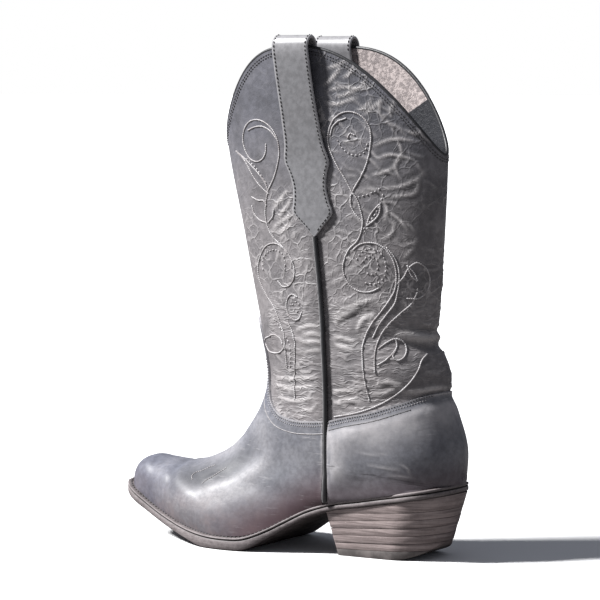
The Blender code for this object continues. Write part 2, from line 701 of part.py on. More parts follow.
def make_heel(looks, parts, cutters):
    """Rubber cap, five leather lifts and the wedge under the seat, all cut from one tapered block."""
    under_sole = sole_cutter("under sole", lambda f: FAR_UP, lambda f: underside_z(f) - GAP, cutters)
    back, top = -20.0, HEEL_BEVEL[-1][1]
    bevel = side_prism("heel bevel", [*HEEL_BEVEL, (back, top), (back, FAR_DOWN), (HEEL_BEVEL[0][0], FAR_DOWN)],
                       cutters)
    names = ["heel_cap"] + [f"heel_lift_{i}" for i in range(1, len(HEEL_JOINTS))] + ["heel_wedge"]
    for i, name in enumerate(names):
        block = lofted(name, [heel_loop(HEEL_FOOT), heel_loop(HEEL_HEAD)], wrap_columns=True, cap_ends=True)
        obj = place(name, outward(block), looks["rubber" if i == 0 else "stack"], parts)
        if i < len(HEEL_JOINTS):
            top = heel_plane(HEEL_JOINTS[i], -GAP / 2)
        else:
            top = lambda f: FAR_UP
        bottom = heel_plane(HEEL_JOINTS[i - 1], GAP / 2) if i > 0 else (lambda f: FAR_DOWN)
        boolean(obj, sole_cutter(name + " slab", top, bottom, cutters, stations=2), "INTERSECT")
        boolean(obj, under_sole, "DIFFERENCE")
        boolean(obj, bevel, "DIFFERENCE")


def main():
    for obj in list(bpy.data.objects):
        bpy.data.objects.remove(obj)
    parts, cutters = new_collection("western boot"), new_collection("cutters")
    cutters.hide_render = True
    looks = {
        "shaft": material("shaft leather", (0.17, 0.165, 0.17), 0.5),
        "vamp": material("vamp leather", (0.20, 0.20, 0.215), 0.38),
        "strap": material("strap leather", (0.19, 0.19, 0.20), 0.42),
        "trim": material("piping and binding", (0.035, 0.035, 0.04), 0.4),
        "footbed": material("footbed leather", (0.42, 0.38, 0.35), 0.75),
        "sole": material("sole leather", (0.30, 0.26, 0.25), 0.6),
        "stack": material("heel stack leather", (0.27, 0.22, 0.21), 0.62),
        "rubber": material("heel cap rubber", (0.10, 0.09, 0.09), 0.8),
    }
    trim = sole_cutter("below feather", feather_z, lambda f: FAR_DOWN, cutters)
    make_upper(looks["shaft"], parts, trim)
    make_overlay("vamp", looks["vamp"], parts, trim, vamp_region(cutters), OVERLAY_ROWS_FROM)
    make_overlay("counter", looks["vamp"], parts, trim, counter_region(cutters), OVERLAY_ROWS_FROM)
    make_binding(looks["trim"], parts)
    for side, name in ((-1, "outer"), (1, "inner")):
        make_piping(f"side_piping_{name}", side, looks["trim"], parts)
        make_strap(f"pull_strap_{name}", side, looks["strap"], parts)
    make_welt(looks["sole"], parts)
    make_insole(looks["footbed"], parts)
    make_outsole(looks["sole"], parts)
    make_heel(looks, parts, cutters)


main()
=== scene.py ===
"""Looks of a western boot for the left foot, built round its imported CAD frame.

The toe points along -X, the outer side of the foot is -Y and +Z is up. Tables and sizes are in millimetres:
f is the distance forward of the back of the heel, z the height above the floor, and u the distance round the
shaft from the side seam, above zero forward of it and below zero behind it.
"""

from __future__ import annotations

import logging
import math
from dataclasses import dataclass
from enum import Enum
from typing import Callable, Sequence

import bmesh
import bpy
import numpy as np
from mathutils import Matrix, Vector
from mathutils.bvhtree import BVHTree

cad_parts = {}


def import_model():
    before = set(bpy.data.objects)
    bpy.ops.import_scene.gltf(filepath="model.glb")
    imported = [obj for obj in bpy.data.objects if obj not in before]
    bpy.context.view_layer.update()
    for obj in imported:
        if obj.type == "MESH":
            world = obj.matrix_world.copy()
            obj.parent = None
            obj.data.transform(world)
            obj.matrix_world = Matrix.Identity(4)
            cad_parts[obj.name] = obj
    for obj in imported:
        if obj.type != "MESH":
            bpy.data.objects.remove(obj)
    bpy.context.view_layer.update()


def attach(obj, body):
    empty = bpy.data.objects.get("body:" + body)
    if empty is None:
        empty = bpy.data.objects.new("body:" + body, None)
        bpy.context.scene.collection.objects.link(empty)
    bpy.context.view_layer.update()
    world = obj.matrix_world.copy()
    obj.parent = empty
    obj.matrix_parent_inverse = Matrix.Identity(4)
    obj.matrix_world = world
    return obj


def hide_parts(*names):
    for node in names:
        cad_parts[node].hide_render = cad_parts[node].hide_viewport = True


LOG = logging.getLogger("western_boot")
MM = 0.001
ROOT = "root"
TINY = 1e-6
# metres: vectors, merged points and edges shorter than these count as none
NO_LENGTH, SAME_POINT, NO_EDGE = 1e-15, 2e-6, 1e-7
Array = np.ndarray
Faces = list[tuple[int, ...]]
Socket = bpy.types.NodeSocket
Table = Sequence[Sequence[float]]
Colour = tuple[float, float, float, float]
# colour, roughness, and bumps as a height, its depth in millimetres and its strength
Paint = tuple[Socket, object, Sequence[tuple[Socket, float, float]]]


class Side(Enum):
    """The two sides of the boot, by the sign of Y."""

    OUTER = -1
    INNER = 1


def smooth_curve(table: Table, at: Array) -> Array:
    """Reads a table as smooth functions of its first column.

    Args:
        table: rows of a knot followed by the values there.
        at: where to read, in the knots' units.

    Returns:
        The values, with one more axis than at.
    """
    rows = np.array(table, float)
    knots, values = rows[:, 0], rows[:, 1:]
    slopes = np.gradient(values, knots, axis=0)
    at = np.clip(np.asarray(at, float), knots[0], knots[-1])
    i = np.clip(np.searchsorted(knots, at, side="right") - 1, 0, len(knots) - 2)
    step = (knots[i + 1] - knots[i])[..., None]
    t = (at - knots[i])[..., None] / step
    return ((2 * t**3 - 3 * t**2 + 1) * values[i] + (t**3 - 2 * t**2 + t) * step * slopes[i]
            + (3 * t**2 - 2 * t**3) * values[i + 1] + (t**3 - t**2) * step * slopes[i + 1])


def fade(at: Array, low: float, high: float) -> Array:
    """Soft step from 0 at low to 1 at high; low may be the larger."""
    t = np.clip((np.asarray(at, float) - low) / (high - low), 0.0, 1.0)
    return t * t * (3 - 2 * t)


def world(f: Array, y: Array, z: Array) -> Array:
    """Points in metres, in the row frame, from millimetres along the foot, across it and up."""
    f, y, z = np.broadcast_arrays(f, y, z)
    return np.stack([(BootForm.HEEL_BACK_TO_ORIGIN - f) * MM, y * MM, z * MM], axis=-1)


def unit(vectors: Array) -> Array:
    """The same directions with length one."""
    return vectors / np.maximum(np.linalg.norm(vectors, axis=-1, keepdims=True), NO_LENGTH)


class Ovals:
    """Sections of the upper at many runs along the boot, each an oval from its base to its front."""

    # sections on the sole are at least this much wider than the feather edge
    STAND_OUT = 1.015
    # share of the half width that an inset leaves, and of the length that it takes at most
    LEAST_HALF, MOST_TRIM = 0.45, 0.3
    # half width of a section that is a point
    POINT = 1e-9

    def __init__(self, form: BootForm, s: Array) -> None:
        """Reads the sections and trims those on the sole to the feather edge.

        Args:
            form: the boot's form.
            s: runs along the boot.
        """
        s = np.asarray(s, float)
        values = smooth_curve(form.section_table, s)
        (self.front_f, self.front_z, self.base_f, self.base_z, self.half, self.widest,
         self.power) = np.moveaxis(values, -1, 0)
        self.on_sole = s > form.heel_run
        foot = form.outline_half(self.base_f)
        self.base_z = np.where(self.on_sole, form.feather(self.base_f) - form.SKIRT, self.base_z)
        self.half = np.where(self.on_sole, np.maximum(self.half, foot * self.STAND_OUT), self.half)
        pointed = self.half <= self.POINT
        tip = self.on_sole & pointed
        ratio = np.clip(foot / np.where(pointed, 1.0, self.half), 0.0, 1.0)
        self.start = np.where(self.on_sole, np.where(tip, math.pi / 2, np.arcsin(ratio)), 0.0)
        self.front_f = np.where(tip, self.base_f, self.front_f)
        self.front_z = np.where(tip, self.base_z, self.front_z)
        self.reach = np.maximum(TINY, np.cos(self.start))

    def points(self, angle: Array, inset: float = 0.0) -> tuple[Array, Array, Array]:
        """Places on the sections.

        Args:
            angle: angles from the base, 0 or the feather edge, to the front, pi; one row for each section.
            inset: how far inside the surface, for the lining.

        Returns:
            f, half width and z, with angle's shape.
        """
        def wide(a: Array) -> Array:
            return a[:, None] if angle.ndim == 2 else a

        side = np.abs(np.cos(angle))
        half = wide(np.maximum(self.half - inset, self.LEAST_HALF * self.half))
        half = half * np.maximum(0.0, np.sin(angle))
        widest, power = wide(self.widest), wide(self.power)
        share = np.where(angle < math.pi / 2, widest * (1 - side / wide(self.reach)),
                         widest + (1 - widest) * side ** (2 / power))
        length = wide(np.hypot(self.front_f - self.base_f, self.front_z - self.base_z))
        trim = np.minimum(inset / np.maximum(length, TINY), self.MOST_TRIM)
        low = np.where(wide(self.on_sole), 0.0, trim)
        share = low + share * (1 - trim - low)
        return (wide(self.base_f) + share * wide(self.front_f - self.base_f), half,
                wide(self.base_z) + share * wide(self.front_z - self.base_z))

    def angle_at(self, share: Array) -> Array:
        """Angle at a share of the way from base to front, one for each section."""
        behind = np.clip(self.reach * (self.widest - share) / self.widest, 0.0, 1.0)
        ahead = np.clip((share - self.widest) / (1 - self.widest), 0.0, 1.0)
        return np.where(share < self.widest, np.arccos(behind),
                        math.pi - np.arccos(np.clip(ahead ** (self.power / 2), 0.0, 1.0)))

    def above(self, f: Array, z: Array) -> Array:
        """Above zero where a place seen from the side lies above its section."""
        return ((self.front_f - self.base_f) * (z - self.base_z)
                - (self.front_z - self.base_z) * (f - self.base_f))


class BootForm:
    """The boot's own form, with the sizes of the part's source: sections, feather edge, seams and collar."""

    HEEL_BACK_TO_ORIGIN = 61.0
    WALL = 2.2
    GAP = 0.3
    SKIRT = 3.0
    COLLAR_PEAK, COLLAR_PEAK_AT = 344.0, 112.0
    COLLAR_FRONT = (67.0, 3.2)
    COLLAR_BACK = {Side.OUTER: (73.0, 2.05), Side.INNER: (73.0, 2.7)}
    HEEL_END, HEEL_ROUND = 2.6, 28.0
    TOE_END, TOE_ROUND, TOE_POWER = 263.4, 19.0, 2.7
    SWING_FULL_BELOW, SWING_NONE_ABOVE = 70.0, 130.0
    # rows of SECTIONS: the shaft's last, the foot's first, the instep's and the heel seat's
    SHAFT_END_ROW, FOOT_ROW, INSTEP_ROW, HEEL_SEAT_ROW = 8, 9, 10, 11
    # height at which the foot of the side seam is read
    SEAM_FOOT = 40.0
    # turns of the searches for a run, for the collar and for a place on the shaft
    HALVINGS, SETTLE, SPOT_STEPS = 34, 18, 4
    # places round a section and down the shaft that are measured
    ROUND_STEPS, SHAFT_STEPS = 241, 400
    # front f, front z, base f, base z (none where the base runs along the feather edge), half width,
    # share of the way to the front where it is widest, and power
    SECTIONS = (
        (190.0, 350.0, 15.0, 350.0, 27.5, 0.50, 2.1), (185.5, 285.0, 13.0, 285.0, 28.5, 0.50, 2.1),
        (170.0, 215.0, 16.0, 215.0, 30.0, 0.50, 2.1), (156.8, 158.0, 20.5, 158.0, 32.5, 0.50, 2.1),
        (153.2, 143.0, 21.8, 146.0, 33.5, 0.49, 2.1), (151.0, 134.0, 15.8, 136.0, 34.0, 0.48, 2.1),
        (148.8, 117.0, 11.0, 118.0, 34.5, 0.47, 2.1), (149.8, 108.6, 13.2, 109.0, 34.5, 0.45, 2.1),
        (152.9, 99.2, 8.9, 96.0, 34.8, 0.42, 2.1), (158.0, 89.8, 3.4, 79.0, 34.8, 0.38, 2.15),
        (164.6, 80.6, 1.4, 62.0, 34.5, 0.34, 2.2), (170.7, 73.1, 2.6, 49.5, 33.8, 0.30, 2.25),
        (176.3, 68.0, 6.5, None, 33.5, 0.26, 2.3), (183.5, 63.0, 25.0, None, 33.2, 0.20, 2.35),
        (191.6, 58.9, 60.0, None, 32.8, 0.16, 2.4), (199.8, 55.7, 95.0, None, 32.6, 0.20, 2.45),
        (208.0, 53.6, 130.0, None, 38.6, 0.20, 2.5), (217.0, 52.1, 165.0, None, 43.0, 0.20, 2.5),
        (227.0, 51.6, 200.0, None, 35.2, 0.22, 2.6), (240.0, 53.0, 230.0, None, 24.8, 0.26, 2.8),
        (250.4, 53.4, 248.5, None, 18.8, 0.30, 3.0), (259.0, 48.6, 259.0, None, 12.0, 0.30, 2.8),
        (263.4, 33.2, 263.4, None, 0.0, 0.30, 2.4),
    )
    FEATHER = ((0.0, 52.3), (30.0, 47.0), (60.0, 41.6), (89.0, 36.0), (105.0, 30.2), (117.0, 23.8),
               (130.0, 16.8), (146.0, 10.8), (160.0, 10.0), (178.0, 10.6), (205.0, 14.5), (230.0, 21.6),
               (250.0, 30.0), (270.0, 39.5))
    UNDERSIDE = ((0.0, 45.6), (30.0, 40.4), (60.0, 35.1), (89.0, 29.6), (105.0, 23.6), (117.0, 16.8),
                 (130.0, 8.8), (143.0, 1.6), (148.0, 0.0), (177.0, 0.0), (182.0, 0.45), (195.0, 3.4),
                 (222.0, 10.8), (248.0, 20.8), (270.0, 30.5))
    TREAD_FLAT = (148.0, 177.0)
    HALF_WIDTH = ((0.0, 30.8), (40.0, 31.0), (72.0, 30.2), (92.0, 29.2), (108.0, 31.2), (125.0, 36.2),
                  (142.0, 40.8), (158.0, 42.5), (172.0, 41.4), (190.0, 36.8), (210.0, 29.8), (228.0, 24.2),
                  (242.0, 20.4), (265.0, 15.5))
    SWING = ((0.0, 0.0), (60.0, 0.0), (110.0, -2.0), (150.0, -2.2), (200.0, 1.0), (240.0, 4.0), (270.0, 5.0))
    SEAM = ((30.0, 88.0), (60.0, 86.5), (100.0, 86.0), (150.0, 89.0), (215.0, 97.0), (290.0, 108.0),
            (350.0, 116.0))

    def __init__(self) -> None:
        """Works out the run along the boot at each section."""
        ends = [(ff, fz, bf, float(self.feather(bf)) - self.SKIRT if bz is None else bz)
                for ff, fz, bf, bz, *_ in self.SECTIONS]
        self.runs = [0.0]
        for last, now in zip(ends, ends[1:]):
            front = math.hypot(now[0] - last[0], now[1] - last[1])
            base = math.hypot(now[2] - last[2], now[3] - last[3])
            self.runs.append(self.runs[-1] + (front + base) / 2)
        self.section_table = [(run, *end, *row[4:]) for run, end, row in zip(self.runs, ends, self.SECTIONS)]
        self.heel_run = self.runs[self.HEEL_SEAT_ROW]

    def feather(self, f: Array) -> Array:
        """Height of the feather edge, where the upper meets the welt."""
        return smooth_curve(self.FEATHER, f)[..., 0]

    def underside(self, f: Array) -> Array:
        """Height of the outsole's underside, held flat where it treads."""
        f = np.asarray(f, float)
        flat = (f >= self.TREAD_FLAT[0]) & (f <= self.TREAD_FLAT[1])
        return np.where(flat, 0.0, np.maximum(0.0, smooth_curve(self.UNDERSIDE, f)[..., 0]))

    def outline_half(self, f: Array) -> Array:
        """Half width of the feather edge, its heel rounded to an ellipse and its toe to a blunt point."""
        f = np.asarray(f, float)
        half = smooth_curve(self.HALF_WIDTH, f)[..., 0]
        back = np.clip((self.HEEL_END + self.HEEL_ROUND - f) / self.HEEL_ROUND, 0.0, 1.0)
        toe = np.clip((f - self.TOE_END + self.TOE_ROUND) / self.TOE_ROUND, 0.0, 1.0)
        half = half * np.sqrt(1 - back**2) * (1 - toe**self.TOE_POWER) ** (1 / self.TOE_POWER)
        return np.where((f <= self.HEEL_END) | (f >= self.TOE_END), 0.0, half)

    def swing(self, f: Array, z: Array) -> Array:
        """Sideways place of the middle of the foot, fading to nothing up the shaft."""
        return smooth_curve(self.SWING, f)[..., 0] * fade(z, self.SWING_NONE_ABOVE, self.SWING_FULL_BELOW)

    def seam(self, z: Array) -> Array:
        """How far forward the side seam runs at a height."""
        return smooth_curve(self.SEAM, z)[..., 0]

    def run_at(self, f: Array, z: Array) -> Array:
        """Run along the boot of the section through a place seen from the side."""
        f, z = np.broadcast_arrays(np.asarray(f, float), np.asarray(z, float))
        low, high = np.full(f.shape, self.runs[0]), np.full(f.shape, self.runs[-1] - TINY)
        for _ in range(self.HALVINGS):
            middle = (low + high) / 2
            past = Ovals(self, middle).above(f, z) > 0
            low, high = np.where(past, low, middle), np.where(past, middle, high)
        return (low + high) / 2

    def flank_half(self, f: Array, z: Array) -> Array:
        """Half width of the upper at a place seen from the side."""
        shape = np.broadcast_shapes(np.shape(f), np.shape(z))
        f = np.broadcast_to(np.asarray(f, float), shape).ravel()
        z = np.broadcast_to(np.asarray(z, float), shape).ravel()
        ovals = Ovals(self, self.run_at(f, z))
        share = np.clip((f - ovals.base_f) / (ovals.front_f - ovals.base_f), 0.0, 1.0)
        return ovals.points(ovals.angle_at(share))[1].reshape(shape)

    def collar_z(self, f: Array, side: Side) -> Array:
        """Height of the scalloped top edge: two falling curves that meet at the peak over the pull straps."""
        f = np.asarray(f, float)
        (front_drop, front_power), (back_drop, back_power) = self.COLLAR_FRONT, self.COLLAR_BACK[side]
        ahead = np.maximum(0.0, f - self.COLLAR_PEAK_AT) / (self.SECTIONS[1][0] - self.COLLAR_PEAK_AT)
        behind = np.maximum(0.0, self.COLLAR_PEAK_AT - f) / (self.COLLAR_PEAK_AT - self.SECTIONS[1][2])
        return self.COLLAR_PEAK - front_drop * ahead**front_power - back_drop * behind**back_power

    def shaft_run(self, z: Array) -> Array:
        """Run of the shaft's section whose back is at a height."""
        runs = np.linspace(0.0, self.runs[self.SHAFT_END_ROW], self.SHAFT_STEPS)
        return np.interp(-np.asarray(z, float), -Ovals(self, runs).base_z, runs)

    def collar_height(self, angle: Array, side: Side) -> Array:
        """Height of the collar at angles round the shaft."""
        z = np.full(np.shape(angle), self.COLLAR_PEAK - self.COLLAR_FRONT[0] / 2)
        for _ in range(self.SETTLE):
            f = Ovals(self, self.shaft_run(z)).points(angle)[0]
            z = (z + self.collar_z(f, side)) / 2
        return z

    def on_shaft(self, u: Array, z: Array) -> tuple[Array, Array, Array]:
        """Places on the shaft given round it from the side seam and by height.

        Args:
            u: distance round the shaft, forward of the seam above zero.
            z: height.

        Returns:
            f, half width and z of the places.
        """
        u, z = np.atleast_1d(np.asarray(u, float)), np.atleast_1d(np.asarray(z, float))
        runs = self.run_at(self.seam(z), z)
        sweep = np.tile(np.linspace(0.0, math.pi, self.ROUND_STEPS), (len(u), 1))
        angle = np.full(len(u), math.pi / 2)
        for _ in range(self.SPOT_STEPS):
            ovals = Ovals(self, runs)
            arc = girth(*ovals.points(sweep))
            seam = ovals.angle_at((self.seam(z) - ovals.base_f) / (ovals.front_f - ovals.base_f))
            for i in range(len(u)):
                at = np.interp(seam[i], sweep[i], arc[i]) + u[i]
                angle[i] = np.interp(at, arc[i], sweep[i])
            f, half, height = ovals.points(angle)
            runs = np.clip(runs + (height - z), 0.0, self.runs[-1] - TINY)
        return f, half, height


def girth(f: Array, half: Array, z: Array) -> Array:
    """Distance along each row of places, from its first."""
    step = np.sqrt(np.diff(f, axis=1) ** 2 + np.diff(half, axis=1) ** 2 + np.diff(z, axis=1) ** 2)
    return np.concatenate([np.zeros((len(f), 1)), np.cumsum(step, axis=1)], axis=1)


def smooth_line(points: Table, step: float) -> Array:
    """Smooth line through points.

    Args:
        points: places in any number of dimensions.
        step: distance between the points of the result.

    Returns:
        Points along the line.
    """
    places = np.array(points, float)
    run = np.concatenate([[0.0], np.cumsum(np.linalg.norm(np.diff(places, axis=0), axis=1))])
    count = max(2, round(run[-1] / step) + 1)
    if len(places) < 3:
        return places[0] + (places[-1] - places[0]) * np.linspace(0.0, 1.0, count)[:, None]
    return smooth_curve(np.column_stack([run, places]), np.linspace(0.0, run[-1], count))


def line_distance(places: Array, line: Array) -> tuple[Array, Array]:
    """Distance of places from a line of points, and how far along it, from 0 to 1, the nearest point is."""
    best = np.full(len(places), np.inf)
    along = np.zeros(len(places))
    for i, (a, b) in enumerate(zip(line, line[1:])):
        run = b - a
        t = np.clip((places - a) @ run / max(run @ run, TINY**2), 0.0, 1.0)
        d = np.linalg.norm(places - a - t[:, None] * run, axis=1)
        closer = d < best
        best = np.where(closer, d, best)
        along = np.where(closer, (i + t) / (len(line) - 1), along)
    return best, along


def inside_outline(places: Array, outline: Array) -> Array:
    """Which places lie inside a closed outline."""
    inside = np.zeros(len(places), bool)
    x, y = places.T
    for (ax, ay), (bx, by) in zip(outline, np.roll(outline, -1, axis=0)):
        if ay != by:
            inside ^= ((ay > y) != (by > y)) & (x < (bx - ax) * (y - ay) / (by - ay) + ax)
    return inside


def grid_normals(points: Array) -> Array:
    """Outward unit normals of a grid whose rows run down and whose columns run forward on the outer side."""
    return unit(np.cross(np.gradient(points, axis=1), np.gradient(points, axis=0)))


def grid_faces(rows: int, columns: int, first: int = 0, wrap_rows: bool = False,
               wrap_columns: bool = False, flip: bool = False) -> Faces:
    """Quads over a grid of vertices numbered row by row from first."""
    down = rows if wrap_rows else rows - 1
    along = columns if wrap_columns else columns - 1
    r, c = np.meshgrid(np.arange(down), np.arange(along), indexing="ij")
    r2, c2 = (r + 1) % rows, (c + 1) % columns
    quads = np.stack([r * columns + c, r2 * columns + c, r2 * columns + c2, r * columns + c2], axis=-1)
    quads = quads.reshape(-1, 4) + first
    return [tuple(q) for q in (quads[:, ::-1] if flip else quads).tolist()]


def new_mesh(name: str, points: Array, faces: Sequence[Sequence[int]],
             masks: dict[str, Array] | None = None, slots: Array | None = None) -> bpy.types.Mesh:
    """Smooth mesh with the points that coincide made one.

    Args:
        name: the mesh's name.
        points: vertices in metres.
        faces: vertex numbers of each face.
        masks: values for each vertex that the materials read, by attribute name.
        slots: material slot of each face.

    Returns:
        The mesh.
    """
    mesh = bpy.data.meshes.new(name)
    mesh.from_pydata(np.asarray(points).reshape(-1, 3).tolist(), [], faces)
    for key, values in (masks or {}).items():
        layer = mesh.attributes.new(key, "FLOAT", "POINT")
        layer.data.foreach_set("value", np.asarray(values, np.float32).ravel())
    if slots is not None:
        mesh.polygons.foreach_set("material_index", np.asarray(slots, np.int32))
    bm = bmesh.new()
    bm.from_mesh(mesh)
    bmesh.ops.remove_doubles(bm, verts=bm.verts, dist=SAME_POINT)
    bmesh.ops.dissolve_degenerate(bm, edges=bm.edges, dist=NO_EDGE)
    bm.to_mesh(mesh)
    bm.free()
    mesh.shade_smooth()
    return mesh


def link(name: str, data: bpy.types.ID) -> bpy.types.Object:
    """A new object in the scene."""
    obj = bpy.data.objects.new(name, data)
    bpy.context.scene.collection.objects.link(obj)
    return obj


def finished_mesh(obj: bpy.types.Object) -> bpy.types.Mesh:
    """A copy of an object's mesh with its modifiers carried out."""
    return bpy.data.meshes.new_from_object(obj.evaluated_get(bpy.context.evaluated_depsgraph_get()))


def place(name: str, mesh: bpy.types.Mesh, finishes: Sequence[bpy.types.Material],
          nodes: Sequence[str] = (), sharp_deg: float | None = None) -> bpy.types.Object:
    """Puts a finished mesh in the scene as a piece of the boot.

    Args:
        name: the piece's name.
        mesh: its mesh, in place.
        finishes: materials, by the mesh's slots.
        nodes: the CAD nodes it stands for.
        sharp_deg: edges sharper than this stay sharp.

    Returns:
        The object.
    """
    for finish in finishes:
        mesh.materials.append(finish)
    if sharp_deg is not None:
        mesh.set_sharp_from_angle(angle=math.radians(sharp_deg))
    obj = link(name, mesh)
    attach(obj, ROOT)
    if nodes:
        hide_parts(*nodes)
    LOG.info("%s: %d faces", name, len(mesh.polygons))
    return obj


def closed_shell(outer: Array, inner: Array,
                 faces: Sequence[Sequence[int]]) -> tuple[Array, Faces]:
    """A skin with thickness: its faces, the same turned round inside, and a rim along open edges."""
    count = len(outer)
    once: dict[tuple[int, int], None] = {}
    for face in faces:
        for a, b in zip(face, (*face[1:], face[0])):
            if (b, a) in once:
                del once[(b, a)]
            else:
                once[(a, b)] = None
    shell = [tuple(face) for face in faces]
    shell += [tuple(v + count for v in reversed(face)) for face in faces]
    shell += [(b, a, a + count, b + count) for a, b in once]
    return np.concatenate([outer, inner]), shell


def trimmed_grid(values: Array, depth: Array) -> tuple[Array, Faces]:
    """Keeps the part of a grid that is inside an edge, and cuts the cells on the edge exactly.

    Args:
        values: rows x columns x any number of values for each vertex.
        depth: how far inside the edge each vertex is, below zero outside.

    Returns:
        Values of the kept vertices and those on the edge, and faces over them.
    """
    rows, columns = depth.shape
    flat, deep = values.reshape(-1, values.shape[-1]), depth.ravel()
    number = np.full(rows * columns, -1)
    kept = np.flatnonzero(deep > 0)
    number[kept] = np.arange(len(kept))
    made, cuts = [], {}

    def cut(a: int, b: int) -> int:
        key = (min(a, b), max(a, b))
        if key not in cuts:
            t = deep[a] / (deep[a] - deep[b])
            cuts[key] = len(kept) + len(made)
            made.append(flat[a] + (flat[b] - flat[a]) * t)
        return cuts[key]

    faces = []
    for face in grid_faces(rows, columns, flip=True):
        inside = [deep[v] > 0 for v in face]
        if all(inside):
            faces.append(tuple(int(number[v]) for v in face))
        elif any(inside):
            loop = []
            for a, b, a_in, b_in in zip(face, face[1:] + face[:1], inside, inside[1:] + inside[:1]):
                if a_in:
                    loop.append(int(number[a]))
                if a_in != b_in:
                    loop.append(cut(a, b))
            faces.append(tuple(loop))
    return np.concatenate([flat[kept], np.array(made).reshape(-1, flat.shape[1])]), faces


def swept_tube(path: Array, radius: float, sides: int, closed: bool = False) -> tuple[Array, Faces]:
    """Round cord along a path of points in metres, as vertices and faces."""
    if closed:
        ahead = unit(np.roll(path, -1, axis=0) - np.roll(path, 1, axis=0))
    else:
        ahead = unit(np.gradient(path, axis=0))
    # any direction will do that no cord here runs along
    up = unit(np.cross(ahead, np.array([1.0, 0.0, 0.001])))
    for i in range(1, len(up)):
        up[i] = unit(up[i - 1] - ahead[i] * (up[i - 1] @ ahead[i]))
    beside = np.cross(ahead, up)
    turn = np.linspace(0.0, 2 * math.pi, sides, endpoint=False)[None, :, None]
    ring = path[:, None] + radius * (np.cos(turn) * up[:, None] + np.sin(turn) * beside[:, None])
    faces = grid_faces(len(path), sides, wrap_rows=closed, wrap_columns=True, flip=True)
    if not closed:
        last = (len(path) - 1) * sides
        faces += [tuple(range(sides - 1, -1, -1)), tuple(range(last, last + sides))]
    return ring.reshape(-1, 3), faces


class Sheet:
    """Adds nodes to a tree and links them by socket name."""

    def __init__(self, tree: bpy.types.NodeTree) -> None:
        """Keeps the tree that the nodes go into."""
        self.tree = tree

    def feed(self, socket: Socket, value: object) -> None:
        """Links another node's socket, or sets a constant."""
        if isinstance(value, Socket):
            self.tree.links.new(value, socket)
        elif value is not None:
            socket.default_value = value

    def add(self, kind: str, inputs: dict[str | int, object] | None = None,
            **settings: object) -> bpy.types.Node:
        """Adds a node.

        Args:
            kind: Blender's name for the node.
            inputs: sockets or constants, by the input's name or number.
            settings: the node's own properties.

        Returns:
            The node.
        """
        node = self.tree.nodes.new(kind)
        for key, value in settings.items():
            setattr(node, key, value)
        for key, value in (inputs or {}).items():
            self.feed(node.inputs[key], value)
        return node

    def math(self, operation: str, a: object, b: object = None, clamp: bool = False) -> Socket:
        """One sum on values."""
        return self.add("ShaderNodeMath", {0: a, 1: b}, operation=operation, use_clamp=clamp).outputs[0]

    def times(self, a: object, b: object, clamp: bool = False) -> Socket:
        """One value times another."""
        return self.math("MULTIPLY", a, b, clamp)

    def plus(self, a: object, b: object) -> Socket:
        """Two values added."""
        return self.math("ADD", a, b)

    def vector(self, operation: str, inputs: dict[int, object], gives: str = "Vector") -> Socket:
        """One sum on vectors."""
        return self.add("ShaderNodeVectorMath", inputs, operation=operation).outputs[gives]

    def stretch(self, vector: Socket, across: float) -> Socket:
        """Coordinates for marks that lie level: squeezed sideways by a factor."""
        return self.add("ShaderNodeMapping", {"Vector": vector, "Scale": (across, across, 1.0)}).outputs[0]

    def parts(self, vector: Socket) -> bpy.types.bpy_prop_collection:
        """X, Y and Z of a vector, by name."""
        return self.add("ShaderNodeSeparateXYZ", {0: vector}).outputs

    def spread(self, value: object, low: object, high: object, to_low: float = 0.0,
               to_high: float = 1.0) -> Socket:
        """Soft step of a value between two levels."""
        return self.add("ShaderNodeMapRange", {"Value": value, "From Min": low, "From Max": high,
                                               "To Min": to_low, "To Max": to_high},
                        interpolation_type="SMOOTHSTEP").outputs["Result"]

    def mix(self, share: object, a: object, b: object, blend: str = "MIX") -> Socket:
        """Blends two colours."""
        return self.add("ShaderNodeMix", {0: share, 6: a, 7: b}, data_type="RGBA", blend_type=blend,
                        clamp_factor=True).outputs[2]

    def noise(self, vector: object, scale: object, detail: float = 3.0, rough: float = 0.55,
              gives: str = "Fac") -> Socket:
        """Soft noise at a scale in features per metre."""
        return self.add("ShaderNodeTexNoise", {"Vector": vector, "Scale": scale, "Detail": detail,
                                               "Roughness": rough}).outputs[gives]

    def patches(self, vector: object, scale: object, levels: tuple[float, float], detail: float = 3.0,
                rough: float = 0.55, to: tuple[float, float] = (0.0, 1.0)) -> Socket:
        """Noise drawn apart into patches, between two of its levels."""
        return self.spread(self.noise(vector, scale, detail, rough), *levels, *to)

    def cells(self, vector: object, scale: object, feature: str) -> Socket:
        """Distance to the middles or to the edges of cells, at a scale in cells per metre."""
        return self.add("ShaderNodeTexVoronoi", {"Vector": vector, "Scale": scale},
                        feature=feature).outputs["Distance"]

    def mask(self, name: str) -> Socket:
        """A value stored on the piece's own vertices."""
        return self.add("ShaderNodeAttribute", attribute_name=name).outputs["Fac"]

    def use(self, group: bpy.types.ShaderNodeTree, **inputs: object) -> bpy.types.bpy_prop_collection:
        """Places a node group with its inputs by name, and gives its outputs."""
        return self.add("ShaderNodeGroup", inputs, node_tree=group).outputs


VALUE, COLOUR, VECTOR = "NodeSocketFloat", "NodeSocketColor", "NodeSocketVector"
# leather grain: size of the tooth against the pebbles, and heights of both
TOOTH_SIZE, PEBBLE_HEIGHT, TOOTH_HEIGHT = 2.6, -0.7, 0.6
# nets of wrinkles: size against their scale and width of the lines, wide and fine; the fine net's share
WIDE_NET, FINE_NET, FINE_SHARE = (0.45, 0.10), (1.0, 0.16), 0.4
# drift of the nets: its size against their scale, its detail, and how far it goes in cells
DRIFT_SIZE, DRIFT_DETAIL, DRIFT_CELLS = 0.4, 2.0, 1.7
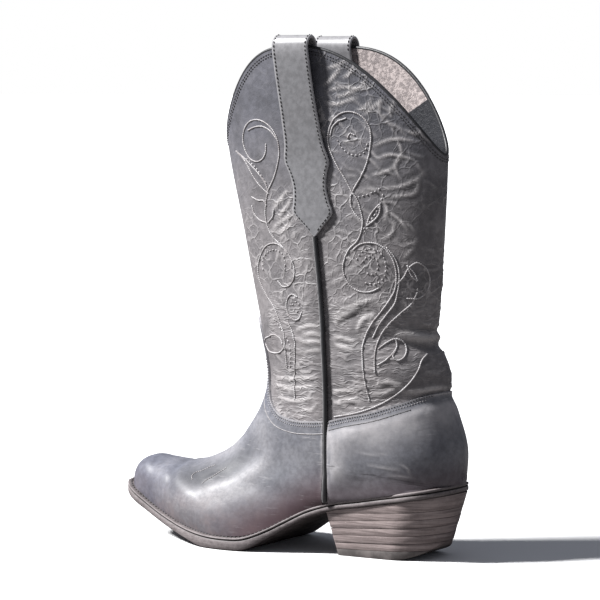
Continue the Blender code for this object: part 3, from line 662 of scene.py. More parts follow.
# level ripples: squeeze sideways, size against the scale, detail and width of the lines
RIPPLE_SQUEEZE, RIPPLE_SIZE, RIPPLE_DETAIL, RIPPLE_WIDTH = 0.2, 1.5, 1.0, 0.11
# patches where wrinkles show: size against the scale, levels, and what shows between and on them
NET_PATCH_SIZE, NET_PATCH_LEVELS, NET_PATCH_SHOWS = 0.14, (0.38, 0.60), (0.15, 1.0)
# paler marks, of wear and of painted highlights: levels, detail and roughness of the noise that breaks them
# up, and the share that stays whole
RUB_NOISE, RUB_WHOLE = ((0.3, 0.7), 4.0, 0.65), 0.4
# dust in patches, as scale, levels, detail and roughness
DUST_NOISE = (55.0, (0.38, 0.68), 6.0, 0.7)
Fill = Callable[[Sheet, dict[str, Socket]], dict[str, Socket]]


def shader_group(name: str, takes: dict[str, str], gives: dict[str, str],
                 fill: Fill) -> bpy.types.ShaderNodeTree:
    """A shader node group, made once.

    Args:
        name: the group's name.
        takes: socket types of its inputs, by name.
        gives: socket types of its outputs, by name.
        fill: makes the nodes from the inputs by name, and returns the outputs by name.

    Returns:
        The group.
    """
    group = bpy.data.node_groups.get(name)
    if group:
        return group
    group = bpy.data.node_groups.new(name, "ShaderNodeTree")
    for way, sockets in (("INPUT", takes), ("OUTPUT", gives)):
        for label, kind in sockets.items():
            group.interface.new_socket(name=label, in_out=way, socket_type=kind)
    sheet = Sheet(group)
    enter, leave = sheet.add("NodeGroupInput"), sheet.add("NodeGroupOutput")
    for label, socket in fill(sheet, {label: enter.outputs[label] for label in takes}).items():
        sheet.feed(leave.inputs[label], socket)
    return group


def grain_group() -> bpy.types.ShaderNodeTree:
    """Leather grain: rounded pebbles with a finer tooth between them."""
    def fill(sheet: Sheet, given: dict[str, Socket]) -> dict[str, Socket]:
        pebbles = sheet.cells(given["Vector"], given["Pebbles"], "F1")
        tooth = sheet.noise(given["Vector"], sheet.times(given["Pebbles"], TOOTH_SIZE))
        return {"Height": sheet.plus(sheet.times(pebbles, PEBBLE_HEIGHT), sheet.times(tooth, TOOTH_HEIGHT))}
    return shader_group("leather grain", {"Vector": VECTOR, "Pebbles": VALUE}, {"Height": VALUE}, fill)


def wrinkle_group() -> bpy.types.ShaderNodeTree:
    """Fine raised wrinkles in patches: a net at two sizes, and level ripples where asked for."""
    def fill(sheet: Sheet, given: dict[str, Socket]) -> dict[str, Socket]:
        def sized(factor: float) -> Socket:
            return sheet.times(given["Scale"], factor)

        def net(size: float, wide: float) -> Socket:
            return sheet.spread(sheet.cells(at, sized(size), "DISTANCE_TO_EDGE"), 0.0, wide, 1.0, 0.0)

        drift = sheet.noise(given["Vector"], sized(DRIFT_SIZE), DRIFT_DETAIL, gives="Color")
        away = sheet.vector("SUBTRACT", {0: drift, 1: (0.5, 0.5, 0.5)})
        bent = sheet.vector("SCALE", {0: away, 3: sheet.math("DIVIDE", DRIFT_CELLS, given["Scale"])})
        at = sheet.vector("ADD", {0: given["Vector"], 1: bent})
        cells = sheet.math("MAXIMUM", net(*WIDE_NET), sheet.times(net(*FINE_NET), FINE_SHARE))
        tone = sheet.noise(sheet.stretch(at, RIPPLE_SQUEEZE), sized(RIPPLE_SIZE), RIPPLE_DETAIL)
        off_middle = sheet.math("ABSOLUTE", sheet.math("SUBTRACT", tone, 0.5))
        ripple = sheet.spread(off_middle, 0.0, RIPPLE_WIDTH, 1.0, 0.0)
        share = sheet.times(sheet.math("SUBTRACT", ripple, cells), given["Level"])
        patch = sheet.patches(given["Vector"], sized(NET_PATCH_SIZE), NET_PATCH_LEVELS, to=NET_PATCH_SHOWS)
        lines = sheet.times(sheet.plus(cells, share), patch)
        return {"Height": lines, "Crest": sheet.times(lines, lines)}
    return shader_group("wrinkles", {"Vector": VECTOR, "Scale": VALUE, "Level": VALUE},
                        {"Height": VALUE, "Crest": VALUE}, fill)


def wear_group() -> bpy.types.ShaderNodeTree:
    """Paler colour where a mask says, broken up by noise: wear, and painted highlights."""
    def fill(sheet: Sheet, given: dict[str, Socket]) -> dict[str, Socket]:
        broken = sheet.patches(given["Vector"], given["Scale"], *RUB_NOISE)
        kept = sheet.plus(sheet.times(broken, 1 - RUB_WHOLE), RUB_WHOLE)
        share = sheet.times(given["Mask"], kept, clamp=True)
        return {"Color": sheet.mix(share, given["Color"], given["Worn"])}
    return shader_group("wear", {"Vector": VECTOR, "Color": COLOUR, "Worn": COLOUR, "Mask": VALUE,
                                 "Scale": VALUE}, {"Color": COLOUR}, fill)


def dust_group() -> bpy.types.ShaderNodeTree:
    """Dry dust that gathers low down and in patches."""
    def fill(sheet: Sheet, given: dict[str, Socket]) -> dict[str, Socket]:
        low = sheet.spread(sheet.parts(given["Vector"])["Z"], given["Top"], 0.0)
        patch = sheet.patches(given["Vector"], *DUST_NOISE)
        share = sheet.times(sheet.times(low, patch), given["Amount"], clamp=True)
        return {"Color": sheet.mix(share, given["Color"], given["Dust"]), "Share": share}
    return shader_group("dust", {"Vector": VECTOR, "Color": COLOUR, "Dust": COLOUR, "Top": VALUE,
                                 "Amount": VALUE}, {"Color": COLOUR, "Share": VALUE}, fill)


def rgb(red: float, green: float, blue: float) -> Colour:
    """An opaque colour, in linear light."""
    return (red, green, blue, 1.0)


def darker(colour: Colour, share: float) -> Colour:
    """A colour with a share of its light left."""
    return rgb(*(c * share for c in colour[:3]))


class Finish:
    """A material with nodes, made once for each finish."""

    name: str
    specular = 0.5
    coat = 0.0
    coat_roughness = 0.3

    def paint(self, sheet: Sheet, at: Socket) -> Paint:
        """Makes the nodes for colour, roughness and bumps; each finish has its own."""
        raise NotImplementedError

    def make(self) -> bpy.types.Material:
        """Builds the material, with its bumps one on the other."""
        made = bpy.data.materials.new(self.name)
        made.use_nodes = True
        sheet, shader = Sheet(made.node_tree), made.node_tree.nodes["Principled BSDF"]
        colour, rough, heights = self.paint(sheet, sheet.add("ShaderNodeTexCoord").outputs["Object"])
        normal = None
        for height, depth, strength in heights:
            normal = sheet.add("ShaderNodeBump", {"Height": height, "Distance": depth * MM,
                                                  "Strength": strength, "Normal": normal}).outputs["Normal"]
        for key, value in (("Base Color", colour), ("Roughness", rough), ("Normal", normal),
                           ("Specular IOR Level", self.specular), ("Coat Weight", self.coat),
                           ("Coat Roughness", self.coat_roughness)):
            sheet.feed(shader.inputs[key], value)
        return made


@dataclass(frozen=True)
class LeatherFinish(Finish):
    """Worn upper leather: mottled colour, grain, a net of wrinkles, paler ridges of wear and painted
    highlight, painted shade in the folds, dust, and painted highlight and painted shade where masks ask.
    """

    # noises as scale, levels, detail and roughness, and what they turn into
    MOTTLE, TONE = (38.0, (0.34, 0.66), 5.0, 0.6), (260.0, (0.3, 0.7), 3.0, 0.6, (0.82, 1.12))
    STREAKS, SCUFFED = (640.0, (0.56, 0.70), 4.0, 0.7), (24.0, (0.47, 0.62))
    # drift of the darker colour that is multiplied in along a direction, in metres
    DRIFT, DRIFT_REACH = (30.0, (0.2, 0.8), 4.0), (-0.02, 0.02)
    # scales of the noise that breaks up the paler ridges, rubbed and painted highlight, and the painted
    # highlight bands
    RUB_SCALE, POLISH_SCALE = 420.0, 70.0
    # what the net keeps where it is calm, and strengths of the bumps of net and grain
    CALM_LEAST, NET_STRENGTH, GRAIN_STRENGTH = 0.1, 0.8, 0.6
    # how much rougher: from dark to pale mottling, where scuffed, and where dusty
    ROUGH_MOTTLED, ROUGH_SCUFFED, ROUGH_DUSTY = (0.06, -0.05), 0.25, 0.3
    # scuffs: squeeze sideways, and their bump as depth in millimetres and strength
    SCUFF_SQUEEZE, SCUFF_BUMP = 0.12, (0.05, 0.35)

    name: str
    base: Colour
    shade: Colour
    pale: Colour
    dust: Colour
    roughness: float
    coat: float = 0.0
    coat_roughness: float = 0.3
    specular: float = 0.5
    pebbles: float = 1100.0
    grain_mm: float = 0.10
    net: float = 210.0
    net_mm: float = 0.30
    net_pale: float = 0.4
    # height in metres below which the wrinkles lie level, and over how much they turn
    level_from: float = 0.0
    level_over: float = 0.03
    ridge_pale: float = 1.0
    ridge_power: float = 1.0
    # painted shade in the folds: its share, and the light it leaves
    fold_share: float = 0.75
    fold_dark: float = 0.32
    scuff: float = 0.0
    dust_top: float = 0.12
    dust_amount: float = 0.35
    # painted shade over the welt, reddish, and its share
    welt_stain: Colour = (0.066, 0.036, 0.042, 1.0)
    welt_stain_share: float = 0.88
    # a darker colour multiplied in along a direction between two distances in metres: on the shaft it darkens
    # the top; on the vamp it is painted shade over the toe's top
    burnish: Colour = (1.0, 1.0, 1.0, 1.0)
    burnish_along: tuple[float, float, float] = (0.0, 0.0, 1.0)
    burnish_from: float = 0.0
    burnish_to: float = 1.0

    def _dyed(self, sheet: Sheet, at: Socket, mottle: Socket) -> Socket:
        """The leather's own colour, mottled, with a darker colour multiplied in along a direction; on the
        vamp that is painted shade.
        """
        colour = sheet.mix(mottle, self.shade, self.base)
        fine = sheet.patches(at, *self.TONE)
        tone = sheet.add("ShaderNodeCombineColor", {0: fine, 1: fine, 2: fine}).outputs[0]
        colour = sheet.mix(1.0, colour, tone, "MULTIPLY")
        reach = sheet.vector("DOT_PRODUCT", {0: at, 1: self.burnish_along}, "Value")
        drift = sheet.plus(reach, sheet.patches(at, *self.DRIFT, to=self.DRIFT_REACH))
        return sheet.mix(sheet.spread(drift, self.burnish_from, self.burnish_to), colour,
                         sheet.mix(1.0, colour, self.burnish, "MULTIPLY"))

    def paint(self, sheet: Sheet, at: Socket) -> Paint:
        """Makes the nodes, from the dyed leather and its painted shade out to the dust, the painted highlight
        bands and the painted shade over the welt.
        """
        mottle = sheet.patches(at, *self.MOTTLE)
        colour = self._dyed(sheet, at, mottle)
        level = sheet.spread(sheet.parts(at)["Z"], self.level_from, self.level_from - self.level_over)
        wrinkles = sheet.use(wrinkle_group(), Vector=at, Scale=self.net, Level=level)
        lively = sheet.spread(sheet.mask("calm"), 0.0, 1.0, 1.0, self.CALM_LEAST)
        lines = sheet.times(sheet.times(wrinkles["Crest"], lively), self.net_pale)
        crests = sheet.times(sheet.math("POWER", sheet.mask("ridge"), self.ridge_power), self.ridge_pale)
        # paler ridges: rubbed wear, and painted highlights on the vamp and the piping
        rubbed = sheet.plus(sheet.plus(crests, sheet.mask("edge")), lines)
        colour = sheet.use(wear_group(), Vector=at, Color=colour, Worn=self.pale, Mask=rubbed,
                           Scale=self.RUB_SCALE)["Color"]
        # painted shade in the folds
        colour = sheet.mix(sheet.times(sheet.mask("trough"), self.fold_share), colour,
                           darker(self.shade, self.fold_dark))
        dusty = sheet.use(dust_group(), Vector=at, Color=colour, Dust=self.dust, Top=self.dust_top,
                          Amount=self.dust_amount)
        # painted highlight bands, where the overlay's mask asks for them
        colour = sheet.use(wear_group(), Vector=at, Color=dusty["Color"], Worn=self.pale,
                           Mask=sheet.mask("polish"), Scale=self.POLISH_SCALE)["Color"]
        # painted shade, reddish, low over the welt
        colour = sheet.mix(sheet.times(sheet.mask("low"), self.welt_stain_share), colour, self.welt_stain)
        grain = sheet.use(grain_group(), Vector=at, Pebbles=self.pebbles)["Height"]
        heights = [(sheet.times(wrinkles["Height"], lively), self.net_mm, self.NET_STRENGTH),
                   (grain, self.grain_mm, self.GRAIN_STRENGTH)]
        rough = sheet.plus(sheet.spread(mottle, 0.0, 1.0, *self.ROUGH_MOTTLED), self.roughness)
        if self.scuff > 0.0:
            streak = sheet.patches(sheet.stretch(at, self.SCUFF_SQUEEZE), *self.STREAKS)
            scuffs = sheet.times(sheet.times(streak, sheet.patches(at, *self.SCUFFED)), self.scuff)
            colour = sheet.mix(scuffs, colour, self.pale)
            rough = sheet.plus(rough, sheet.times(scuffs, self.ROUGH_SCUFFED))
            heights.append((streak, *self.SCUFF_BUMP))
        return colour, sheet.plus(rough, sheet.times(dusty["Share"], self.ROUGH_DUSTY)), heights


@dataclass(frozen=True)
class LiningFinish(Finish):
    """Rough pigskin lining, mottled, with a painted shadow down the back, dark and less rough."""

    # noises as scale, levels where there are any, detail and roughness
    SPOTS, BLOTCH, FIBRE = (330.0, (0.40, 0.60), 5.0, 0.72), (60.0, (0.3, 0.7), 4.0), (900.0, 4.0, 0.7)
    SPOT_SHARE, BLOTCH_SHARE = 0.85, 0.45
    # roughness, and what the painted shadow's patch adds to it
    ROUGH, ROUGH_STAY = 0.85, -0.3
    # bumps as depth in millimetres and strength
    SPOT_BUMP, FIBRE_BUMP = (0.25, 0.7), (0.12, 0.6)

    name: str
    base: Colour
    spot: Colour
    stay: Colour
    # painted shadow inside the back: its front end, then height of its top edge where x is zero, and that
    # edge's slope
    stay_from_x: float
    stay_top: float
    stay_slope: float
    stay_edge: float = 0.0006
    specular: float = 0.3

    def paint(self, sheet: Sheet, at: Socket) -> Paint:
        """Makes the nodes."""
        spots = sheet.patches(at, *self.SPOTS)
        blotch = sheet.patches(at, *self.BLOTCH)
        colour = sheet.mix(sheet.times(spots, self.SPOT_SHARE), self.base, self.spot)
        colour = sheet.mix(sheet.times(blotch, self.BLOTCH_SHARE), colour, self.spot)
        place_at = sheet.parts(at)
        behind = sheet.spread(place_at["X"], self.stay_from_x, self.stay_from_x + self.stay_edge)
        level = sheet.math("SUBTRACT", place_at["Z"], sheet.times(place_at["X"], self.stay_slope))
        # painted shadow: dark below a slanting edge at the back
        stay = sheet.times(behind, sheet.spread(level, self.stay_top, self.stay_top - self.stay_edge))
        fibre = sheet.noise(at, *self.FIBRE)
        rough = sheet.plus(sheet.times(stay, self.ROUGH_STAY), self.ROUGH)
        return (sheet.mix(stay, colour, self.stay), rough,
                [(spots, *self.SPOT_BUMP), (fibre, *self.FIBRE_BUMP)])


@dataclass(frozen=True)
class LayeredFinish(Finish):
    """Cut leather edges of sole and heel: fine level layers, blotches, fibres, paler edges, rubbed and on the
    rand painted light, and painted shade in the grooves.
    """

    # noises as scale, detail and roughness; the layers lie level, at a scale of their own
    BLOTCH, FIBRE, LAYERS, LAYER_SQUEEZE = (90.0, 6.0, 0.7), (1300.0, 3.0, 0.7), (4.0, 0.65), 0.05
    # levels between which each shows, and what it shows there
    LAYERS_SHOW, BLOTCH_SHOW, FIBRE_SHOW = (0.38, 0.62), (0.42, 0.72, 0.0, 0.6), (0.52, 0.8, 0.0, 0.5)
    # scale of the noise that breaks up the paler edges; painted shade in the grooves, its share and the light
    # it leaves
    RUB_SCALE, FOLD_SHARE, FOLD_DARK = 350.0, 0.9, 0.25
    # levels of the blotches, with what they take from the roughness and add to it
    ROUGH_LEVELS, SMOOTHER, ROUGHER = (0.3, 0.7), 0.08, 0.1
    LAYER_STRENGTH, FIBRE_BUMP = 0.8, (0.10, 0.6)

    name: str
    base: Colour
    dark: Colour
    pale: Colour
    roughness: float
    layer_scale: float = 620.0
    layer_mm: float = 0.10
    specular: float = 0.35

    def paint(self, sheet: Sheet, at: Socket) -> Paint:
        """Makes the nodes."""
        layers = sheet.noise(sheet.stretch(at, self.LAYER_SQUEEZE), self.layer_scale, *self.LAYERS)
        blotch = sheet.noise(at, *self.BLOTCH)
        fibre = sheet.noise(at, *self.FIBRE)
        colour = sheet.mix(sheet.spread(layers, *self.LAYERS_SHOW), self.dark, self.base)
        colour = sheet.mix(sheet.spread(blotch, *self.BLOTCH_SHOW), colour, self.dark)
        colour = sheet.mix(sheet.spread(fibre, *self.FIBRE_SHOW), colour, self.pale)
        colour = sheet.use(wear_group(), Vector=at, Color=colour, Worn=self.pale, Mask=sheet.mask("edge"),
                           Scale=self.RUB_SCALE)["Color"]
        # painted shade in the grooves and under the edges
        colour = sheet.mix(sheet.times(sheet.mask("trough"), self.FOLD_SHARE), colour,
                           darker(self.dark, self.FOLD_DARK))
        rough = sheet.spread(blotch, *self.ROUGH_LEVELS, self.roughness - self.SMOOTHER,
                             self.roughness + self.ROUGHER)
        return colour, rough, [(layers, self.layer_mm, self.LAYER_STRENGTH), (fibre, *self.FIBRE_BUMP)]


@dataclass(frozen=True)
class ThreadFinish(Finish):
    """Sewing thread, twisted, a little soiled."""

    # noises as scale, levels where there are any, detail and roughness; where the ply shows, and its bump
    DIRT, PLY = (120.0, (0.38, 0.72), 4.0, 0.7), (2600.0, 2.0)
    PLY_SHOW, PLY_BUMP, ROUGH = (0.5, 0.8, 0.0, 0.5), (0.10, 0.7), (0.5, 0.8)

    name: str
    base: Colour
    soiled: Colour

    def paint(self, sheet: Sheet, at: Socket) -> Paint:
        """Makes the nodes."""
        dirt = sheet.patches(at, *self.DIRT)
        ply = sheet.noise(at, *self.PLY)
        colour = sheet.mix(dirt, self.base, self.soiled)
        colour = sheet.mix(sheet.spread(ply, *self.PLY_SHOW), colour, self.soiled)
        return colour, sheet.spread(dirt, 0.0, 1.0, *self.ROUGH), [(ply, *self.PLY_BUMP)]


@dataclass(frozen=True)
class RubberFinish(Finish):
    """Worn rubber of the heel cap, greyed by dust."""

    # noises as scale, levels where there are any, detail and roughness; roughness bare and dusty, and a bump
    PATCHES, GRIT = (70.0, (0.36, 0.66), 6.0, 0.7), (1500.0, 4.0, 0.7)
    ROUGH, GRIT_BUMP = (0.7, 0.92), (0.12, 0.7)

    name: str
    base: Colour
    dusty: Colour

    def paint(self, sheet: Sheet, at: Socket) -> Paint:
        """Makes the nodes."""
        patch = sheet.patches(at, *self.PATCHES)
        colour = sheet.mix(patch, self.base, self.dusty)
        grit = sheet.noise(at, *self.GRIT)
        return colour, sheet.spread(patch, 0.0, 1.0, *self.ROUGH), [(grit, *self.GRIT_BUMP)]


@dataclass(frozen=True)
class FloorFinish(Finish):
    """Plain pale floor, which throws little light back up at the boot."""

    name: str
    pale: tuple[Colour, Colour]
    unseen: Colour
    roughness: float = 0.9

    def paint(self, sheet: Sheet, at: Socket) -> Paint:
        """Makes the nodes."""
        pale = sheet.mix(sheet.noise(at, 3.0), *self.pale)
        seen = sheet.add("ShaderNodeLightPath").outputs["Is Camera Ray"]
        return sheet.mix(seen, self.unseen, pale), self.roughness, []


class Finishes:
    """The boot's materials, each made once."""

    def __init__(self) -> None:
        """Builds every finish."""
        grey = rgb(0.40, 0.38, 0.38)
        self.shaft = LeatherFinish(
            "shaft leather", rgb(0.212, 0.198, 0.202), rgb(0.130, 0.122, 0.127), grey,
            rgb(0.30, 0.265, 0.265), 0.55, specular=0.4, net=230.0, net_mm=0.5, net_pale=0.85, ridge_pale=2.3,
            ridge_power=1.5, level_from=0.185, dust_top=0.24, dust_amount=0.35, burnish=rgb(0.56, 0.60, 0.68),
            burnish_from=0.205, burnish_to=0.31).make()
        self.vamp = LeatherFinish(
            "vamp leather", rgb(0.186, 0.186, 0.203), rgb(0.134, 0.136, 0.154), rgb(0.40, 0.385, 0.395),
            rgb(0.26, 0.215, 0.215), 0.43, specular=0.27, pebbles=1500.0, grain_mm=0.04, net=75.0,
            net_mm=0.08, net_pale=0.02, scuff=0.5, level_from=1.0, dust_top=0.05, dust_amount=0.8,
            # the toe's top darker and bluer: painted shade
            burnish=rgb(0.80, 0.83, 0.92), burnish_along=(-1.0, 0.0, 1.1), burnish_from=0.17,
            burnish_to=0.225).make()
        self.strap = LeatherFinish(
            "strap leather", rgb(0.180, 0.178, 0.186), rgb(0.160, 0.159, 0.167), rgb(0.42, 0.41, 0.42), grey,
            0.42, coat=0.06, coat_roughness=0.35, pebbles=1600.0, grain_mm=0.03, net=60.0, net_mm=0.05,
            net_pale=0.02, dust_amount=0.0).make()
        self.trim = LeatherFinish(
            "piping and binding", rgb(0.030, 0.030, 0.033), rgb(0.016, 0.016, 0.018), rgb(0.26, 0.255, 0.26),
            rgb(0.12, 0.11, 0.11), 0.45, pebbles=1700.0, grain_mm=0.03, net=300.0, net_mm=0.06, net_pale=0.06,
            dust_amount=0.3).make()
        self.lining = LiningFinish("lining", rgb(0.52, 0.455, 0.44), rgb(0.20, 0.175, 0.175),
                                   # the dark colour and the numbers after it are the painted shadow at the
                                   # back
                                   rgb(0.026, 0.027, 0.032), -0.012, 0.2965, 0.53).make()
        self.footbed = LayeredFinish("footbed", rgb(0.34, 0.29, 0.26), rgb(0.22, 0.18, 0.16),
                                     rgb(0.42, 0.38, 0.35), 0.75).make()
        self.sole = LayeredFinish("sole leather", rgb(0.140, 0.121, 0.122), rgb(0.072, 0.059, 0.060),
                                  rgb(0.40, 0.36, 0.36), 0.62, layer_mm=0.2).make()
        self.stack = LayeredFinish("heel stack leather", rgb(0.35, 0.288, 0.278), rgb(0.185, 0.148, 0.144),
                                   rgb(0.46, 0.405, 0.395), 0.6, layer_mm=0.22).make()
        self.rubber = RubberFinish("heel cap rubber", rgb(0.075, 0.066, 0.064),
                                   rgb(0.17, 0.15, 0.145)).make()
        self.pale_thread, self.grey_thread, self.dark_thread = (
            ThreadFinish(name, rgb(*base), rgb(*soiled)).make() for name, base, soiled in (
                ("pale thread", (0.46, 0.445, 0.45), (0.26, 0.235, 0.235)),
                ("grey thread", (0.34, 0.325, 0.33), (0.18, 0.165, 0.165)),
                ("dark thread", (0.030, 0.029, 0.031), (0.07, 0.065, 0.065))))


@dataclass
class Patch:
    """A grid over the upper: places in millimetres, distance round from the seam, and points in metres."""

    f: Array
    half: Array
    z: Array
    u: Array
    sign: Array
    points: Array

    def raised(self, height: Array) -> Array:
        """Points moved outwards, square to the surface, by heights in millimetres."""
        return self.points + grid_normals(self.points) * (np.asarray(height) * MM)[..., None]


class Skin:
    """Lays grids over the upper's surface."""

    # places round a section and runs along the boot that are measured
    SWEEP, RUNS = 241, 420
    # how far under the welt's top the leather starts
    TUCK = 0.5

    def __init__(self, form: BootForm) -> None:
        """Measures the way round many sections."""
        self.form = form
        self.runs = np.linspace(0.0, form.runs[-1] - TINY, self.RUNS)
        self.share = np.linspace(0.0, 1.0, self.SWEEP)
        self.arc = girth(*self._sweep(Ovals(form, self.runs))[1:])

    def _sweep(self, ovals: Ovals) -> tuple[Array, Array, Array, Array]:
        """Angles and places from the base to the front of each section."""
        angles = ovals.start[:, None] + (math.pi - ovals.start)[:, None] * self.share
        return (angles, *ovals.points(angles))

    def even_angles(self, runs: Array, count: int) -> Array:
        """Angles evenly spaced round each section, on the sole from just under the welt's top."""
        ovals = Ovals(self.form, runs)
        angles, f, half, z = self._sweep(ovals)
        arc = girth(f, half, z)
        rise = z - self.form.feather(f) + self.TUCK
        rows = []
        for i in range(len(runs)):
            first, up = 0.0, np.flatnonzero(rise[i] > 0)
            if len(up) and up[0] > 0:
                k = up[0]
                share = rise[i, k - 1] / (rise[i, k - 1] - rise[i, k])
                first = arc[i, k - 1] + (arc[i, k] - arc[i, k - 1]) * share
            rows.append(np.interp(np.linspace(first, arc[i, -1], count), arc[i], angles[i]))
        return np.array(rows)

    def _arc_at(self, runs: Array, angles: Array, start: Array) -> Array:
        """Distance round from the base, at runs and angles."""
        r = np.interp(runs, self.runs, np.arange(len(self.runs)))
        c = np.clip((angles - start) / (math.pi - start), 0.0, 1.0) * (self.SWEEP - 1)
        r0, c0 = np.minimum(r.astype(int), len(self.runs) - 2), np.minimum(c.astype(int), self.SWEEP - 2)
        dr, dc = r - r0, c - c0
        return ((1 - dr) * ((1 - dc) * self.arc[r0, c0] + dc * self.arc[r0, c0 + 1])
                + dr * ((1 - dc) * self.arc[r0 + 1, c0] + dc * self.arc[r0 + 1, c0 + 1]))

    def patch(self, runs: Array, angles: Array, signs: Array, inset: float = 0.0) -> Patch:
        """A grid of places.

        Args:
            runs: run along the boot of each place.
            angles: angle round the section of each place.
            signs: -1 on the outer side, 1 on the inner.
            inset: how far inside the surface.

        Returns:
            The grid.
        """
        shape = runs.shape
        ovals = Ovals(self.form, runs.ravel())
        flat = angles.ravel()
        f, half, z = ovals.points(flat, inset)
        seam = ovals.angle_at(np.clip((self.form.seam(z) - ovals.base_f)
                                      / np.maximum(ovals.front_f - ovals.base_f, TINY), 0.0, 1.0))
        u = self._arc_at(runs.ravel(), flat, ovals.start) - self._arc_at(runs.ravel(), seam, ovals.start)
        y = self.form.swing(f, z) + signs.ravel() * half
        return Patch(*(a.reshape(shape) for a in (f, half, z, u, signs.ravel())),
                     world(f, y, z).reshape(*shape, 3))

    def around(self, outer_runs: Array, inner_runs: Array, angles: Array,
               inset: float = 0.0) -> Patch:
        """A grid right round the boot, from the back by the outer side to the front and back by the inner.

        Args:
            outer_runs: runs of the places on the outer side.
            inner_runs: runs of the places on the inner side.
            angles: angles of both, from the back to the front.
            inset: how far inside the surface.

        Returns:
            The grid.
        """
        signs = np.concatenate([np.full(angles.shape, -1.0), np.full(angles.shape, 1.0)[:, 1:]], axis=1)
        return self.patch(np.concatenate([outer_runs, inner_runs[:, -2::-1]], axis=1),
                          np.concatenate([angles, angles[:, -2::-1]], axis=1), signs, inset)

    def spot(self, u: Array, z: Array, side: Side) -> Array:
        """Points in metres on the shaft, from places round it and heights."""
        f, half, height = self.form.on_shaft(u, z)
        return world(f, self.form.swing(f, height) + side.value * half, height)


@dataclass(frozen=True)
class Crease:
    """A soft ridge, or with a height below zero a trough, along a line of (u, z) or (f, z)."""

    # distance between points along the line, and how far the crease reaches, in widths
    STEP, REACH = 3.0, 4.5
    # taper to the ends: where on a half wave they lie, and its power
    TAPER_FROM, TAPER_POWER = 0.06, 0.6
    # the bands beside the line: how far off, in widths, and how high against it
    BESIDE, BESIDE_SHARE = 2.0, 0.42
    # painted highlight beside a trough, painted shade beside a ridge, and the height that shows in full
    RUB_BESIDE, SHADE_BESIDE, FULL_HEIGHT = 0.6, 0.45, 0.7

    line: Table
    height: float
    width: float
    tint: float = 1.0

    def press(self, places: Array, relief: Array, ridge: Array, trough: Array) -> None:
        """Adds the crease to a surface.

        Args:
            places: where each vertex is, in the line's own measures.
            relief: heights, which it changes.
            ridge: mask of paler ridges, rubbed and painted highlight, which it changes.
            trough: mask of painted shade in the folds, which it changes.
        """
        path = smooth_line(self.line, self.STEP)
        room = self.REACH * self.width
        near = np.flatnonzero(np.all((places > path.min(0) - room) & (places < path.max(0) + room), axis=1))
        if not len(near):
            return
        d, along = line_distance(places[near], path)
        d /= self.width
        wave = self.TAPER_FROM + (1 - 2 * self.TAPER_FROM) * along
        taper = np.sin(math.pi * wave) ** self.TAPER_POWER
        crest = np.exp(-d**2) * taper
        beside = np.exp(-(d - self.BESIDE)**2) * taper
        relief[near] += self.height * (crest - self.BESIDE_SHARE * beside)
        # ridge takes paleness, partly painted highlight; trough takes painted shade
        if self.height > 0:
            up, down = crest, beside * self.SHADE_BESIDE
        else:
            up, down = beside * self.RUB_BESIDE, crest
        share = min(1.0, abs(self.height) / self.FULL_HEIGHT) * self.tint
        ridge[near] = np.maximum(ridge[near], up * share)
        trough[near] = np.maximum(trough[near], down * share)


@dataclass(frozen=True)
class WrinkleField:
    """Many short wrinkles scattered over part of the shaft, with a fixed seed."""

    # spread of the slopes, and ranges of the lengths, bows, heights and widths as shares
    SLOPE_SPREAD_DEG = 14.0
    LENGTHS, BOWS, HEIGHTS, WIDTHS = (0.55, 1.25), (-0.3, 0.3), (0.5, 1.2), (0.8, 1.25)

    u: tuple[float, float]
    z: tuple[float, float]
    count: int
    slope_deg: float
    length: float
    height: float
    width: float
    seed: int

    def creases(self) -> list[Crease]:
        """The wrinkles."""
        draw = np.random.default_rng(self.seed)
        made = []
        for _ in range(self.count):
            middle = np.array([draw.uniform(*self.u), draw.uniform(*self.z)])
            slope = math.radians(self.slope_deg + draw.normal(0.0, self.SLOPE_SPREAD_DEG))
            reach = self.length * draw.uniform(*self.LENGTHS) / 2
            along = np.array([math.cos(slope), math.sin(slope)]) * reach
            bow = np.array([-along[1], along[0]]) * draw.uniform(*self.BOWS)
            height = self.height * draw.uniform(*self.HEIGHTS)
            width = self.width * draw.uniform(*self.WIDTHS)
            made.append(Crease([middle - along, middle + bow, middle + along], height, width))
        return made


